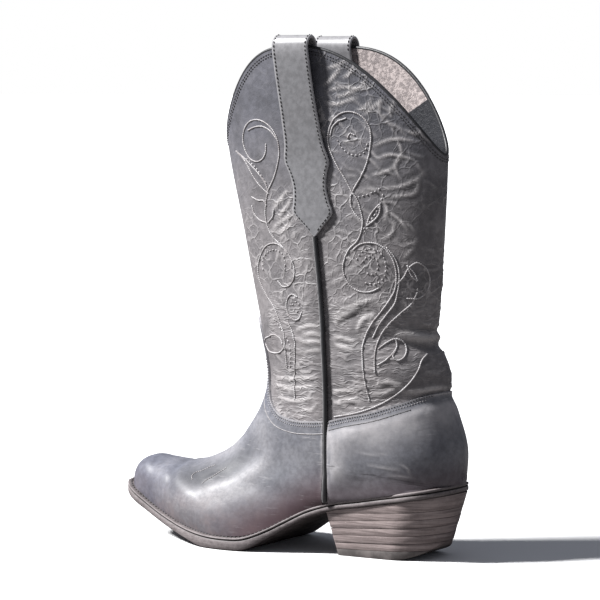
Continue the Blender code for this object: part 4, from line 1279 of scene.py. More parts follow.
# Scroll embroidery on the outer side, as (u, z); the inner side has the same.
SCROLL_ROWS: dict[str, Table] = {
    "front_loop": ((37, 246), (30, 255), (25.5, 263.5), (22.5, 272.5), (22.5, 280), (25, 286.5),
        (30, 291.5), (38, 294.5), (46, 293.5), (52, 289), (55.5, 281.5), (54.5, 274), (50.5, 268),
        (43.5, 266), (37.5, 268.5), (34, 274), (33.5, 277.5)),
    "front_loop_inner": ((48.5, 287.5), (42.5, 289.5), (35, 290), (28, 287), (23.5, 282)),
    "front_bud_top": ((65, 272.5), (58, 269), (51, 264), (43.5, 257.5), (38, 251), (36.5, 246)),
    "front_bud_under": ((65, 272.5), (57, 267), (53, 261.5), (48.5, 254.5), (42.5, 248.5), (37, 244.5)),
    "front_stem": ((37, 246), (40, 238), (42, 229), (41, 221.5), (36.5, 214.5), (29.5, 209), (24, 203.5),
        (21, 197), (20.5, 191.5), (22.5, 186), (27, 182), (32.5, 181.5), (36, 184.5)),
    "front_mid": ((25.5, 205), (30.5, 209), (37, 210.5), (44.5, 208.5), (51.5, 202.5), (57, 194),
        (58, 186.5), (54.5, 179.5), (50, 174), (44.5, 168.5), (41, 163), (37.5, 155), (35, 149.5),
        (35, 140), (35, 130.5), (35, 126.5)),
    "front_leaf_1": ((53.5, 241.5), (48, 239.5), (41.5, 239), (40, 236.5)),
    "front_leaf_2": ((55, 235), (53.5, 230), (48.5, 226), (42.5, 224.5)),
    "front_leaf_3": ((33.5, 233), (35, 229), (39.5, 225)),
    "front_motif": ((20.5, 175), (24, 176.5), (29, 173), (30.5, 167.5), (28.5, 162), (24, 159),
        (19.5, 160.5), (17.5, 164)),
    "front_curl": ((35.5, 140), (40.5, 136.5), (50, 135), (60.5, 137), (64.5, 141.5), (53.5, 146),
        (44, 147.5), (38.5, 144.5), (37.5, 142.5)),
    "front_stem_right": ((30.5, 158), (27, 152), (25, 145), (26, 134), (27.5, 120.5), (27.5, 105)),
    "back_loop": ((-31.5, 246.5), (-27.5, 255.5), (-23, 264), (-19.5, 272.5), (-18, 280.5), (-20, 288.5),
        (-24, 295), (-29.5, 299), (-36, 300.5), (-42.5, 299), (-47.5, 295), (-50, 289), (-49.5, 281),
        (-47.5, 273.5), (-44, 265), (-38.5, 256), (-33.5, 249.5), (-30, 244)),
    "back_loop_inner": ((-20.5, 285), (-23, 290.5), (-27.5, 294), (-33, 296)),
    "back_swirl": ((-33.5, 283.5), (-35.5, 286), (-38, 285)),
    "back_stem_left": ((-30, 244), (-29.5, 238), (-31.5, 232.5), (-35.5, 228)),
    "back_stem": ((-31.5, 246.5), (-34.5, 241.5), (-36, 234.5), (-36.5, 227.5), (-34.5, 220), (-31, 214),
        (-25, 209), (-21, 203), (-18.5, 196), (-19.5, 189), (-23.5, 183), (-30.5, 180), (-37.5, 180.5),
        (-42, 182.5)),
    "back_mid": ((-28, 208.5), (-32, 211.5), (-38, 213), (-44, 212.5), (-50, 209), (-54, 203),
        (-55.5, 195.5), (-55, 187.5), (-53, 181), (-49.5, 175.5), (-43.5, 168), (-37, 160.5), (-32.5, 154),
        (-31, 151), (-28.5, 143), (-28.5, 135), (-29, 126), (-30.5, 116.5), (-32.5, 108)),
    "back_mid_second": ((-51.5, 209.5), (-55.5, 204), (-57.5, 197), (-57, 187.5), (-55, 180), (-52.5, 173),
        (-46.5, 165.5), (-40.5, 158), (-36, 150)),
    "back_stem_third": ((-68, 179.5), (-64, 173), (-55.5, 166), (-47.5, 159), (-41.5, 151.5), (-38, 143.5),
        (-37, 135.5), (-37, 127)),
    "back_leaf": ((-39.5, 225.5), (-41.5, 230), (-45.5, 235), (-50, 238.5), (-49, 233), (-44.5, 228),
        (-40, 225)),
    "back_right_loop": ((-54.5, 185), (-60, 190), (-65, 197), (-70.5, 200), (-75.5, 197), (-78, 189.5),
        (-75.5, 181.5), (-68.5, 176), (-61.5, 176)),
    "back_right_leaf": ((-64, 197.5), (-67.5, 193.5), (-69, 188), (-65.5, 191.5), (-64, 197)),
    "back_motif": ((-40, 142.5), (-44.5, 146), (-51.5, 149), (-56.5, 147), (-58.5, 141.5), (-56.5, 136.5),
        (-52, 135), (-49.5, 137.5), (-51, 141)),
    "back_motif_leaf": ((-40, 132), (-45.5, 135.5), (-49, 139), (-52, 144), (-51.5, 148)),
    "back_sweep": ((-7, 95.5), (-23.5, 99), (-37.5, 104), (-50.5, 111.5), (-60, 119.5), (-66.5, 128.5),
        (-69.5, 135.5), (-72.5, 138.5)),
}
SCROLL_DOTS: dict[str, Table] = {
    "front_bud_dots": ((53.5, 267.5), (45, 261), (38, 252)),
    "front_mid_inner": ((51.5, 192), (50.5, 198.5), (45, 203.5), (36.5, 206), (31, 204.5), (28, 199.5),
        (29, 193)),
    "front_motif_dots": ((24.5, 169.5), (21, 171.5), (18.5, 168.5), (20.5, 165), (24, 165.5)),
    "front_stem_dots": ((42, 157.5), (37, 151), (30.5, 143), (30.5, 133.5), (31.5, 127)),
    "back_swirl_dots": ((-25.5, 281), (-28, 276.5), (-32.5, 272.5), (-38.5, 271.5), (-44, 273.5),
        (-46.5, 278.5)),
    "back_mid_dots": ((-29.5, 202), (-33, 206.5), (-39, 209), (-45, 207.5), (-48.5, 203), (-49, 196),
        (-46.5, 189.5), (-40.5, 185.5), (-34, 186)),
    "back_mid_swirl": ((-33.5, 200.5), (-38, 204), (-43, 202), (-43.5, 196.5), (-40.5, 192), (-36, 192.5)),
    "back_leaf_dots": ((-37, 222.5), (-42, 227.5), (-47, 233.5), (-51, 240.5), (-53, 245)),
    "back_side_dots": ((-36, 243.5), (-43, 245.5), (-51, 249)),
    "back_right_dots": ((-68.5, 182), (-66.5, 175.5), (-60, 168), (-51, 162), (-46, 156.5)),
}
# Main creases of the shaft on the outer side: height, width, tint and lines of (u, z).
CREASES: dict[str, tuple[float, float, float, Sequence[Table]]] = {
    "under the collar at the back": (0.45, 1.1, 1.5, (
        ((-20, 318), (-27.5, 324), (-34.5, 331)),
        ((-21.5, 314.5), (-34, 317), (-47, 316), (-56.5, 319)),
        ((-27, 310.5), (-38, 313), (-47, 317.5), (-52, 323)),
        ((-19, 306.5), (-28, 305.5), (-36, 308), (-43.5, 310)),
        ((-46.5, 298.5), (-55, 304.5), (-62, 309.5)),
        ((-42.5, 301), (-51.5, 306), (-54, 310)),
        ((-57.5, 300), (-59, 306), (-62, 309.5)),
        ((-64.5, 297.5), (-67, 304.5), (-71, 308)),
        ((-34.5, 323), (-41, 327), (-44, 332.5)),
        ((-23.5, 329.5), (-31, 331.5), (-39, 334.5)),
    )),
    "net on the back": (0.42, 1.1, 1.5, (
        ((-50, 277), (-59.5, 281), (-68, 282.5), (-80, 281)),
        ((-68, 282.5), (-70, 273), (-64, 264), (-66.5, 256)),
        ((-54, 249), (-68, 251.5), (-78, 256), (-83, 260)),
        ((-54.5, 243.5), (-65.5, 244.5), (-75, 246.5), (-79.5, 256)),
        ((-74.5, 288), (-81, 286), (-86.5, 288)),
        ((-52.5, 269), (-61, 272), (-70.5, 270.5), (-77, 269)),
        ((-64, 264), (-55.5, 260), (-48, 258.5)),
        ((-54.5, 234.5), (-62, 229), (-67.5, 221)),
        ((-53, 242.5), (-54.5, 234.5), (-51.5, 227.5)),
        ((-59, 226.5), (-55, 218.5), (-48, 215)),
        ((-62.5, 211.5), (-69.5, 213), (-72.5, 215)),
        ((-61.5, 202.5), (-66, 206.5), (-70.5, 211.5)),
    )),
    "above the counter": (0.65, 1.35, 1.5, (
        ((-7.5, 163), (-18.5, 168.5), (-32, 173.5), (-40.5, 176.5)),
        ((-9, 159.5), (-20, 165), (-27.5, 169.5)),
        ((-25, 154.5), (-29.5, 161.5), (-38.5, 166)),
        ((-9, 160.5), (-18.5, 165.5), (-27.5, 168.5)),
        ((-8.5, 149), (-16.5, 148), (-24.5, 146)),
        ((-9, 144), (-15.5, 142.5), (-21.5, 141.5)),
        ((-5.5, 112), (-17.5, 113.5), (-25, 112.5)),
        ((-6, 105), (-16, 106.5), (-28, 107.5)),
        ((-38, 118.5), (-46.5, 120.5), (-54.5, 118.5)),
        ((-33.5, 112), (-43.5, 113), (-51.5, 116.5)),
    )),
    "bulge above the ankle": (0.9, 5.0, 0.4, (
        ((-14, 168), (-28, 172), (-42, 173), (-54, 167)),
        ((-24, 158), (-36, 161), (-48, 160)),
    )),
    "round the ankle": (1.2, 2.8, 1.0, (
        ((-53, 151.5), (-64, 149.5), (-79, 149.5), (-86, 152)),
        ((-56, 153), (-65.5, 151.5), (-82.5, 148)),
    )),
    "slouch behind": (0.8, 2.0, 1.0, (
        ((-57, 113.5), (-67.5, 114.5), (-79, 116), (-92.5, 115)),
    )),
    "front panel": (0.5, 1.2, 1.5, (
        ((22.5, 153), (10, 156), (-2, 155)),
        ((19, 148), (9, 150.5), (-1.5, 150)),
        ((21, 143.5), (9, 145.5), (-2, 145)),
        ((20, 137), (8, 139.5), (-2, 139)),
        ((20, 99), (13, 98.5), (8, 102.5)),
        ((48.5, 118.5), (29.5, 119), (14.5, 120.5), (2.5, 122)),
        ((48.5, 113), (27.5, 113), (7.5, 116)),
        ((45, 105.5), (25.5, 104), (8, 107.5)),
        ((35.5, 221.5), (24.5, 227.5), (19, 229.5)),
        ((33.5, 217), (23.5, 222), (17.5, 226)),
        ((34.5, 232.5), (26, 241), (20, 246.5)),
        ((32, 227), (23.5, 234), (17, 241)),
    )),
}

WRINKLES = (
    WrinkleField((4.0, 50.0), (98.0, 160.0), 60, 3.0, 22.0, 0.26, 1.1, 3),
    WrinkleField((-50.0, -5.0), (98.0, 135.0), 36, 4.0, 18.0, 0.28, 1.15, 5),
    WrinkleField((-34.0, -5.0), (140.0, 262.0), 60, -14.0, 9.0, 0.28, 1.0, 8),
    WrinkleField((6.0, 36.0), (165.0, 250.0), 64, 128.0, 10.0, 0.34, 1.0, 13),
    WrinkleField((-88.0, -18.0), (200.0, 332.0), 70, 34.0, 13.0, 0.34, 1.1, 21),
    WrinkleField((-92.0, -40.0), (105.0, 200.0), 36, 0.0, 14.0, 0.3, 1.3, 34),
)
# Dips and folds of the vamp behind the toe, with painted shade in the dip and painted highlight along the
# shoulder, and rubbed marks low on the counter, as (f, z).
VAMP_CREASES = (
    # dip at the toe cap's edge, darkened with painted shade
    Crease(((223, 56), (219, 50), (217, 44), (219, 38)), -0.9, 3.4, 0.25),
    # shoulder ridge whose paleness is a painted highlight
    Crease(((197, 33), (188, 35.5), (176, 40), (163, 44.5), (153, 49), (145, 54), (138, 60), (133, 68)),
           0.45, 4.2, 1.0),
    # shallow dip whose darkness is painted shade, with painted highlight beside it
    Crease(((215, 45), (203, 44), (190, 45.5), (178, 49), (167, 54), (159, 61), (153, 70)), -0.40, 8.0, 1.9),
    # broad pale patch: painted highlight
    Crease(((152, 49), (143, 55), (137, 61), (134, 67)), 0.3, 7.0, 1.1),
    Crease(((183, 57), (177, 61), (172, 67), (165, 72)), 0.25, 1.6, 1.3),
    Crease(((187, 42), (184, 45), (178, 49)), 0.22, 1.3, 1.2),
    Crease(((208, 52), (202, 50), (196, 51.5)), 0.2, 1.6, 0.8),
)
COUNTER_CREASES = (
    Crease(((52, 65), (41, 63.5), (31, 62.5)), 0.09, 0.9, 6.0),
    Crease(((37, 58.5), (29, 57.5), (22, 57)), 0.09, 0.9, 6.0),
    Crease(((31, 66.5), (26, 63), (24.5, 58)), 0.09, 0.8, 6.0),
    Crease(((62, 74), (50, 72), (38, 73)), 0.08, 0.9, 5.0),
    Crease(((72, 88), (62, 87), (55, 89)), 0.08, 1.0, 6.0),
    Crease(((66, 91), (52, 93.5), (40, 98)), 0.10, 1.1, 5.0),
)
# Stitched flourish on the vamp behind the toe, as (f, z).
TOE_ROWS: tuple[Table, ...] = (
    ((211, 51), (203.5, 52), (196.5, 53.3)),
    ((197, 44.2), (199, 46.2), (198, 47.8), (193.7, 49.3), (189, 51.6), (185, 53.4)),
    ((186.6, 42.4), (184.4, 44.9), (181.3, 46.8), (178, 49.5), (173, 53)),
)


def shaft_creases() -> list[Crease]:
    """Main creases, then the small wrinkles between them."""
    made = [Crease(line, *sizes) for *sizes, lines in CREASES.values() for line in lines]
    return made + [crease for area in WRINKLES for crease in area.creases()]


@dataclass
class OverlayShape:
    """Outline of a leather overlay seen from the side, as (f, z), its cut edge and the top part of that."""

    outline: Array
    edge: Array
    top: Array

    def row(self, inside: float) -> Array:
        """Line along the top edge, inside it by a distance."""
        run = unit(np.gradient(self.top, axis=0))
        across = np.column_stack([run[:, 1], -run[:, 0]])
        line = self.top + across * inside
        middle = len(line) // 2
        if not inside_outline(line[middle:middle + 1], self.outline)[0]:
            line = self.top - across * inside
        return line

    def depth(self, f: Array, z: Array) -> Array:
        """How far inside the cut edge places are, below zero outside."""
        places = np.column_stack([f.ravel(), z.ravel()])
        d = line_distance(places, self.edge)[0]
        return np.where(inside_outline(places, self.outline), d, -d).reshape(f.shape)


class OverlayShapes:
    """The vamp's and the counter's outlines."""

    SEAM_CLEAR = 2.3
    VAMP_EDGE = ((100.0, 91.0), (116.0, 91.2), (128.5, 94.5), (137.0, 102.0), (141.0, 112.0), (142.5, 122.0),
                 (144.0, 130.0))
    VAMP_TONGUE = ((144.0, 130.0), (146.0, 137.0), (149.0, 147.0), (153.5, 156.0), (166.0, 163.0))
    VAMP_AT_SEAM = 92.0
    COUNTER_EDGE = ((70.0, 96.0), (52.0, 100.0), (34.0, 106.0), (16.0, 112.5), (-6.0, 115.0))
    COUNTER_AT_SEAM = 92.5
    SEAM_LOW, SEAM_STEPS = 20.0, 40
    LOW, FRONT = -30.0, 290.0

    def __init__(self, form: BootForm) -> None:
        """Smooths the outlines of the part's source."""
        def seam(top: float, shift: float) -> Array:
            z = np.linspace(self.SEAM_LOW, top, self.SEAM_STEPS)
            return np.column_stack([form.seam(z) + shift, z])

        ahead = seam(self.VAMP_AT_SEAM, self.SEAM_CLEAR)
        scallop = smooth_line([ahead[-1], *self.VAMP_EDGE], 1.0)
        edge = np.concatenate([ahead, scallop, smooth_line(self.VAMP_TONGUE, 1.0)[1:]])
        round_toe = [(self.FRONT, edge[-1][1]), (self.FRONT, self.LOW), (edge[0][0], self.LOW)]
        self.vamp = OverlayShape(np.concatenate([edge, round_toe]), edge, scallop)
        behind = seam(self.COUNTER_AT_SEAM, -self.SEAM_CLEAR)
        rise = smooth_line([behind[-1], *self.COUNTER_EDGE], 1.0)
        edge = np.concatenate([behind, rise[1:]])
        under = [(edge[-1][0], self.LOW), (edge[0][0], self.LOW)]
        self.counter = OverlayShape(np.concatenate([edge, under]), edge, rise)


@dataclass
class Upper:
    """Shaft and foot of the upper in one hollow wall, leather outside and lining inside."""

    # distances over which creases set in: off the overlays, off the seam, and out from the middle lines
    CLEAR_OVERLAY, CLEAR_SEAM, CLEAR_MIDDLE = (0.3, 3.5), (1.6, 4.0), (2.0, 14.0)
    # the front panel by the collar lies smooth: distance from the seam, heights of creases and of the net
    SMOOTH_FROM_SEAM, SMOOTH_CREASES, SMOOTH_NET = (4.0, 14.0), (250.0, 268.0), (236.0, 262.0)
    # the net calms down the front middle, and painted shade darkens the front panel beside the seam under the
    # strap
    CALM_FRONT, CALM_FRONT_SHARE = (27.0, 10.0), 0.6
    SHADE_FROM_SEAM, SHADE_UNDER = (16.0, 3.0), (225.0, 205.0)

    skin: Skin
    shapes: OverlayShapes
    finishes: Finishes
    columns: int = 132
    collar_rows: int = 56
    collar_rows_end: float = 258.0
    shaft_rows: int = 122
    foot_rows: int = 38
    # one in so many of the shaft's rows is kept for the lining
    inner_every: int = 3
    # creases on the inner side against the outer: shrink round the shaft, shift and rubbing
    inner_shrink: float = 0.04
    inner_shift: tuple[float, float] = (1.5, 2.5)
    inner_tint: float = 0.6
    smooth_share: float = 0.85
    seam_shade: float = 0.6
    name: str = "upper_leather"

    def _grid(self) -> tuple[Array, Array, Array]:
        """Runs on the outer and inner sides, and angles: collar rows, then level rows down to the toe."""
        form = self.skin.form
        top, foot = form.shaft_run(self.collar_rows_end), form.runs[form.FOOT_ROW]
        body = np.concatenate([np.linspace(top, foot, self.shaft_rows),
                               np.linspace(foot, form.runs[-1] - TINY, self.foot_rows + 1)[1:]])
        first = self.skin.even_angles(np.array([top]), self.columns + 1)[0]
        angles = np.concatenate([np.tile(first, (self.collar_rows, 1)),
                                 self.skin.even_angles(body, self.columns + 1)])
        down = np.linspace(0.0, 1.0, self.collar_rows, endpoint=False)[:, None]
        level = np.tile(body[:, None], (1, self.columns + 1))
        runs = []
        for side in Side:
            collar = form.collar_height(first, side)
            height = collar + (self.collar_rows_end - collar) * down
            runs.append(np.concatenate([form.shaft_run(height), level]))
        return runs[0], runs[1], angles

    def _relief(self, patch: Patch) -> tuple[Array, Array, Array]:
        """Heights of the creases, with masks of paler ridges and of painted shade in the folds, fading out at
        overlays and seams.
        """
        places = np.column_stack([patch.u.ravel(), patch.z.ravel()])
        on_inner = patch.sign.ravel() > 0
        apart = fade(patch.half.ravel()[on_inner], *self.CLEAR_MIDDLE)[:, None]
        places[on_inner] += (places[on_inner] * (-self.inner_shrink, 0.0) + self.inner_shift) * apart
        relief, ridge, trough = (np.zeros(len(places)) for _ in range(3))
        for crease in shaft_creases():
            crease.press(places, relief, ridge, trough)
        ridge[on_inner] *= self.inner_tint
        covered = np.maximum(self.shapes.vamp.depth(patch.f, patch.z),
                             self.shapes.counter.depth(patch.f, patch.z))
        shown = fade(-covered, *self.CLEAR_OVERLAY) * fade(np.abs(patch.u), *self.CLEAR_SEAM)
        smooth = fade(patch.u, *self.SMOOTH_FROM_SEAM) * fade(patch.z, *self.SMOOTH_CREASES)
        shown *= 1 - self.smooth_share * smooth
        return tuple(values.reshape(patch.u.shape) * shown for values in (relief, ridge, trough))

    def _masks(self, patch: Patch, ridge: Array, trough: Array) -> dict[str, Array]:
        """What the leather reads: rubbed ridges, painted shade in the folds and beside the seam, and where
        the net is calm.
        """
        calm = fade(patch.u, *self.SMOOTH_FROM_SEAM) * fade(patch.z, *self.SMOOTH_NET)
        calm = np.maximum(calm, self.CALM_FRONT_SHARE * fade(patch.half, *self.CALM_FRONT) * (patch.u > 0))
        beside_seam = fade(patch.u, *self.SHADE_FROM_SEAM) * (patch.u > 0) * fade(patch.z, *self.SHADE_UNDER)
        return {"ridge": ridge, "trough": np.maximum(trough, self.seam_shade * beside_seam), "calm": calm}

    def build(self) -> bpy.types.Object:
        """Makes the wall and dresses it."""
        outer_runs, inner_runs, angles = self._grid()
        patch = self.skin.around(outer_runs, inner_runs, angles)
        relief, ridge, trough = self._relief(patch)
        rows, columns = patch.u.shape
        form = self.skin.form
        instep = form.runs[form.INSTEP_ROW]
        shaft_end = self.collar_rows + int(np.searchsorted(outer_runs[self.collar_rows:, 0], instep))
        kept = np.array(sorted({*range(0, shaft_end, self.inner_every), *range(shaft_end, rows)}))
        lining = self.skin.around(outer_runs[kept], inner_runs[kept], angles[kept], form.WALL)
        count, last = rows * columns, columns - 1
        # the back middle line is closed down to the heel seat, and the last row shrinks to the toe's point
        open_row = angles[:, 0] > TINY
        wall = patch.raised(relief)
        for grid, is_open in ((wall, open_row), (lining.points, open_row[kept])):
            grid[~is_open, 0] = grid[~is_open, -1] = (grid[~is_open, 0] + grid[~is_open, -1]) / 2
            grid[-1] = grid[-1].mean(axis=0)
        faces = grid_faces(rows, columns, flip=True)
        inside = grid_faces(len(kept), columns, first=count)
        rim = [(c + 1, c, count + c, count + c + 1) for c in range(last)]
        number = np.full(rows, -1)
        number[kept] = np.arange(len(kept))
        for r in range(rows - 1):
            if open_row[r + 1] and number[r] >= 0:
                a, b = r * columns, (r + 1) * columns
                i, j = count + number[r] * columns, count + number[r + 1] * columns
                rim += [(a, b, j, i), (b + last, a + last, i + last, j + last)]
        bare = np.zeros(lining.u.size)
        masks = {key: np.concatenate([mask.ravel(), bare])
                 for key, mask in self._masks(patch, ridge, trough).items()}
        mesh = new_mesh(self.name, np.concatenate([wall.reshape(-1, 3), lining.points.reshape(-1, 3)]),
                        faces + rim + inside, masks,
                        np.concatenate([np.zeros(len(faces) + len(rim)), np.ones(len(inside))]))
        return place(self.name, mesh, [self.finishes.shaft, self.finishes.lining], ["upper"],
                     sharp_deg=60.0)


@dataclass
class Overlay:
    """Smooth leather laid over the upper: the vamp or the counter."""

    # distances over which creases, the top's roll and the bulge beside the seam set in
    CREASE_IN, ROLL_RISE, BULGE_RISE, BULGE_TOP = (0.0, 5.0), (2.0, 25.0), (2.0, 20.0), (4.0, 16.0)
    # painted highlight strip beside the seam: where it sets in and ends, its top and its foot
    RUB_NEAR, RUB_FAR, RUB_TOP, RUB_RISE = (0.5, 4.0), (20.0, 6.0), (4.0, 10.0), (6.0, 26.0)
    # masks the leather reads: low is painted shade over the welt, and the last is the painted highlight bands
    MASKS = ("edge", "ridge", "trough", "low", "polish")

    name: str
    node: str
    skin: Skin
    shape: OverlayShape
    finish: bpy.types.Material
    creases: Sequence[Crease]
    # first and last section that it lies over
    sections: tuple[float, float]
    rows: int
    columns: int
    thickness: float = 1.6
    inside: float = 0.1
    thinnest: float = 0.6
    edge_band: float = 2.0
    roll: float = 0.0
    roll_over: float = 12.0
    seam_roll: float = 0.0
    seam_roll_over: float = 7.0
    # how far below the top edge the painted highlight band starts, is full, and ends
    polish: tuple[float, float, float] | None = None
    # the flare over the welt is taken in below this height round the heel
    tuck_below: float = 8.0
    # painted shade low over the welt: its share, its top in millimetres and its least share
    stain: float = 1.0
    stain_top: float = 34.0
    stain_least: float = 0.3
    # painted shade above the welt, reddish: where along the foot it thins out
    stain_ends: tuple[float, float] = (182.0, 138.0)

    def _relief(self, patch: Patch, bent: Array, depth: Array, from_top: Array, from_seam: Array,
                above_welt: Array) -> Array:
        """Heights over the overlay's own thickness.

        Args:
            patch: the places.
            bent: heights of the creases.
            depth: how far inside the cut edge each place is.
            from_top: how far from the top edge.
            from_seam: how far from the side seam.
            above_welt: how far above the welt.

        Returns:
            The heights.
        """
        form = self.skin.form
        relief = bent * fade(depth, *self.CREASE_IN)
        relief += self.roll * fade(from_top, 0.0, self.roll_over) * fade(above_welt, *self.ROLL_RISE)
        bulge = (fade(from_seam, 0.0, self.seam_roll_over)
                 * fade(from_seam, 5 * self.seam_roll_over, 2 * self.seam_roll_over))
        bulge *= fade(above_welt, *self.BULGE_RISE) * fade(from_top, *self.BULGE_TOP)
        relief += self.seam_roll * bulge
        heel = (patch.f < form.seam(form.SEAM_FOOT)) & (above_welt < self.tuck_below)
        waist = form.flank_half(patch.f[heel], form.feather(patch.f[heel]) + self.tuck_below)
        relief[heel] -= np.maximum(patch.half[heel] - waist, 0.0)
        return np.maximum(relief, self.thinnest - self.thickness)

    def _rubbed(self, from_top: Array, from_seam: Array, above_welt: Array) -> Array:
        """Mask of the painted highlight bands under the top edge and beside the seam."""
        if not self.polish:
            return np.zeros(from_top.shape)
        start, full, end = self.polish
        band = fade(from_top, start, full) * fade(from_top, end, full)
        beside = (fade(from_seam, *self.RUB_NEAR) * fade(from_seam, *self.RUB_FAR)
                  * fade(from_top, *self.RUB_TOP))
        return np.maximum(band, beside * fade(above_welt, *self.RUB_RISE))

    def build(self) -> bpy.types.Object:
        """Makes the overlay and dresses it."""
        form = self.skin.form
        at = np.linspace(*self.sections, self.rows)
        runs = np.minimum(np.interp(at, np.arange(len(form.runs)), form.runs), form.runs[-1] - TINY)
        level = np.tile(runs[:, None], (1, self.columns + 1))
        patch = self.skin.around(level, level, self.skin.even_angles(runs, self.columns + 1))
        depth = self.shape.depth(patch.f, patch.z)
        places = np.column_stack([patch.f.ravel(), patch.z.ravel()])
        bent, ridge, trough = (np.zeros(patch.f.size) for _ in range(3))
        for crease in self.creases:
            crease.press(places, bent, ridge, trough)
        bent, ridge, trough = (values.reshape(depth.shape) for values in (bent, ridge, trough))
        from_top = line_distance(places, self.shape.top)[0].reshape(depth.shape)
        from_seam = np.abs(patch.f - form.seam(patch.z)) - OverlayShapes.SEAM_CLEAR
        above_welt = patch.z - form.feather(patch.f)
        relief = self._relief(patch, bent, depth, from_top, from_seam, above_welt)
        # the mask low: painted shade just above the welt
        thins = self.stain_least + (1 - self.stain_least) * fade(patch.f, *self.stain_ends)
        low = self.stain * fade(above_welt, self.stain_top, 1.0) * thins
        masks = np.stack([fade(depth, self.edge_band, 0.0), ridge, trough, low,
                          self._rubbed(from_top, from_seam, above_welt)], axis=-1)
        values = np.concatenate([patch.raised(self.thickness + relief),
                                 patch.raised(np.full(depth.shape, self.inside)), masks], axis=-1)
        kept, faces = trimmed_grid(values, depth)
        points, shell = closed_shell(kept[:, :3], kept[:, 3:6], faces)
        masks = {key: np.tile(kept[:, 6 + i], 2) for i, key in enumerate(self.MASKS)}
        mesh = new_mesh(self.name, points, shell, masks)
        return place(self.name, mesh, [self.finish], [self.node], sharp_deg=50.0)


@dataclass
class SidePiping:
    """Dark cord over a side seam, from the tip of the pull strap down to the welt."""

    # the painted highlight along the cord's front, as shares of the radius forward of its middle
    RUB_BACK, RUB_FRONT = (0.25, 0.5), (0.95, 0.75)

    side: Side
    form: BootForm
    finish: bpy.types.Material
    radius: float = 1.75
    stand: float = 1.5
    top: float = 216.2
    above_welt: float = 0.8
    step: float = 1.6
    sides: int = 16

    def build(self) -> bpy.types.Object:
        """Makes the cord and dresses it."""
        form, side = self.form, self.side.name.lower()
        low = float(form.feather(form.seam(form.SEAM_FOOT))) + self.above_welt
        z = np.linspace(low, self.top, round((self.top - low) / self.step))
        f = form.seam(z)
        path = world(f, form.swing(f, z) + self.side.value * (form.flank_half(f, z) + self.stand), z)
        points, faces = swept_tube(path, self.radius * MM, self.sides)
        ahead = (np.repeat(path[:, 0], self.sides) - points[:, 0]) / (self.radius * MM)
        # the ridge mask is a painted highlight along the cord's lit front
        mesh = new_mesh(f"piping_{side}", points, faces,
                        {"ridge": fade(ahead, *self.RUB_BACK) * fade(ahead, *self.RUB_FRONT)})
        return place(f"piping_{side}", mesh, [self.finish], [f"side_piping_{side}"],
                     sharp_deg=60.0)


@dataclass
class CollarBinding:
    """Narrow bead folded over the scalloped top edge."""

    form: BootForm
    finish: bpy.types.Material
    columns: int = 150
    sides: int = 12
    radius: float = 1.3
    rise: float = 0.2
    probe: float = 5.0

    def _edge(self) -> tuple[Array, Array, Array]:
        """Points along the collar's outer edge, with directions outwards and up, square to the edge."""
        angles = np.linspace(0.0, math.pi, self.columns + 1)
        edge, below = [], []
        for side in Side:
            top = self.form.collar_height(angles, side)
            for line, z in ((edge, top), (below, top - self.probe)):
                f, half, _ = Ovals(self.form, self.form.shaft_run(z)).points(angles)
                points = world(f, side.value * half, z)
                line.append(points[:-1] if side is Side.OUTER else points[:0:-1])
        edge, below = np.concatenate(edge), np.concatenate(below)
        along = np.roll(edge, -1, axis=0) - np.roll(edge, 1, axis=0)
        out = unit(np.cross(along, below - edge))
        return edge, out, unit(np.cross(along, out))

    def below(self, distance: float) -> Array:
        """Line on the shaft, under the edge by a distance."""
        edge, _, up = self._edge()
        line = edge - up * distance * MM
        return np.concatenate([line, line[:1]])

    def build(self) -> bpy.types.Object:
        """Makes the bead, over the middle of the wall, and dresses it."""
        edge, out, up = self._edge()
        path = edge - out * self.form.WALL / 2 * MM + up * self.rise * MM
        mesh = new_mesh("binding", *swept_tube(path, self.radius * MM, self.sides, closed=True))
        return place("binding", mesh, [self.finish], ["collar_binding"])


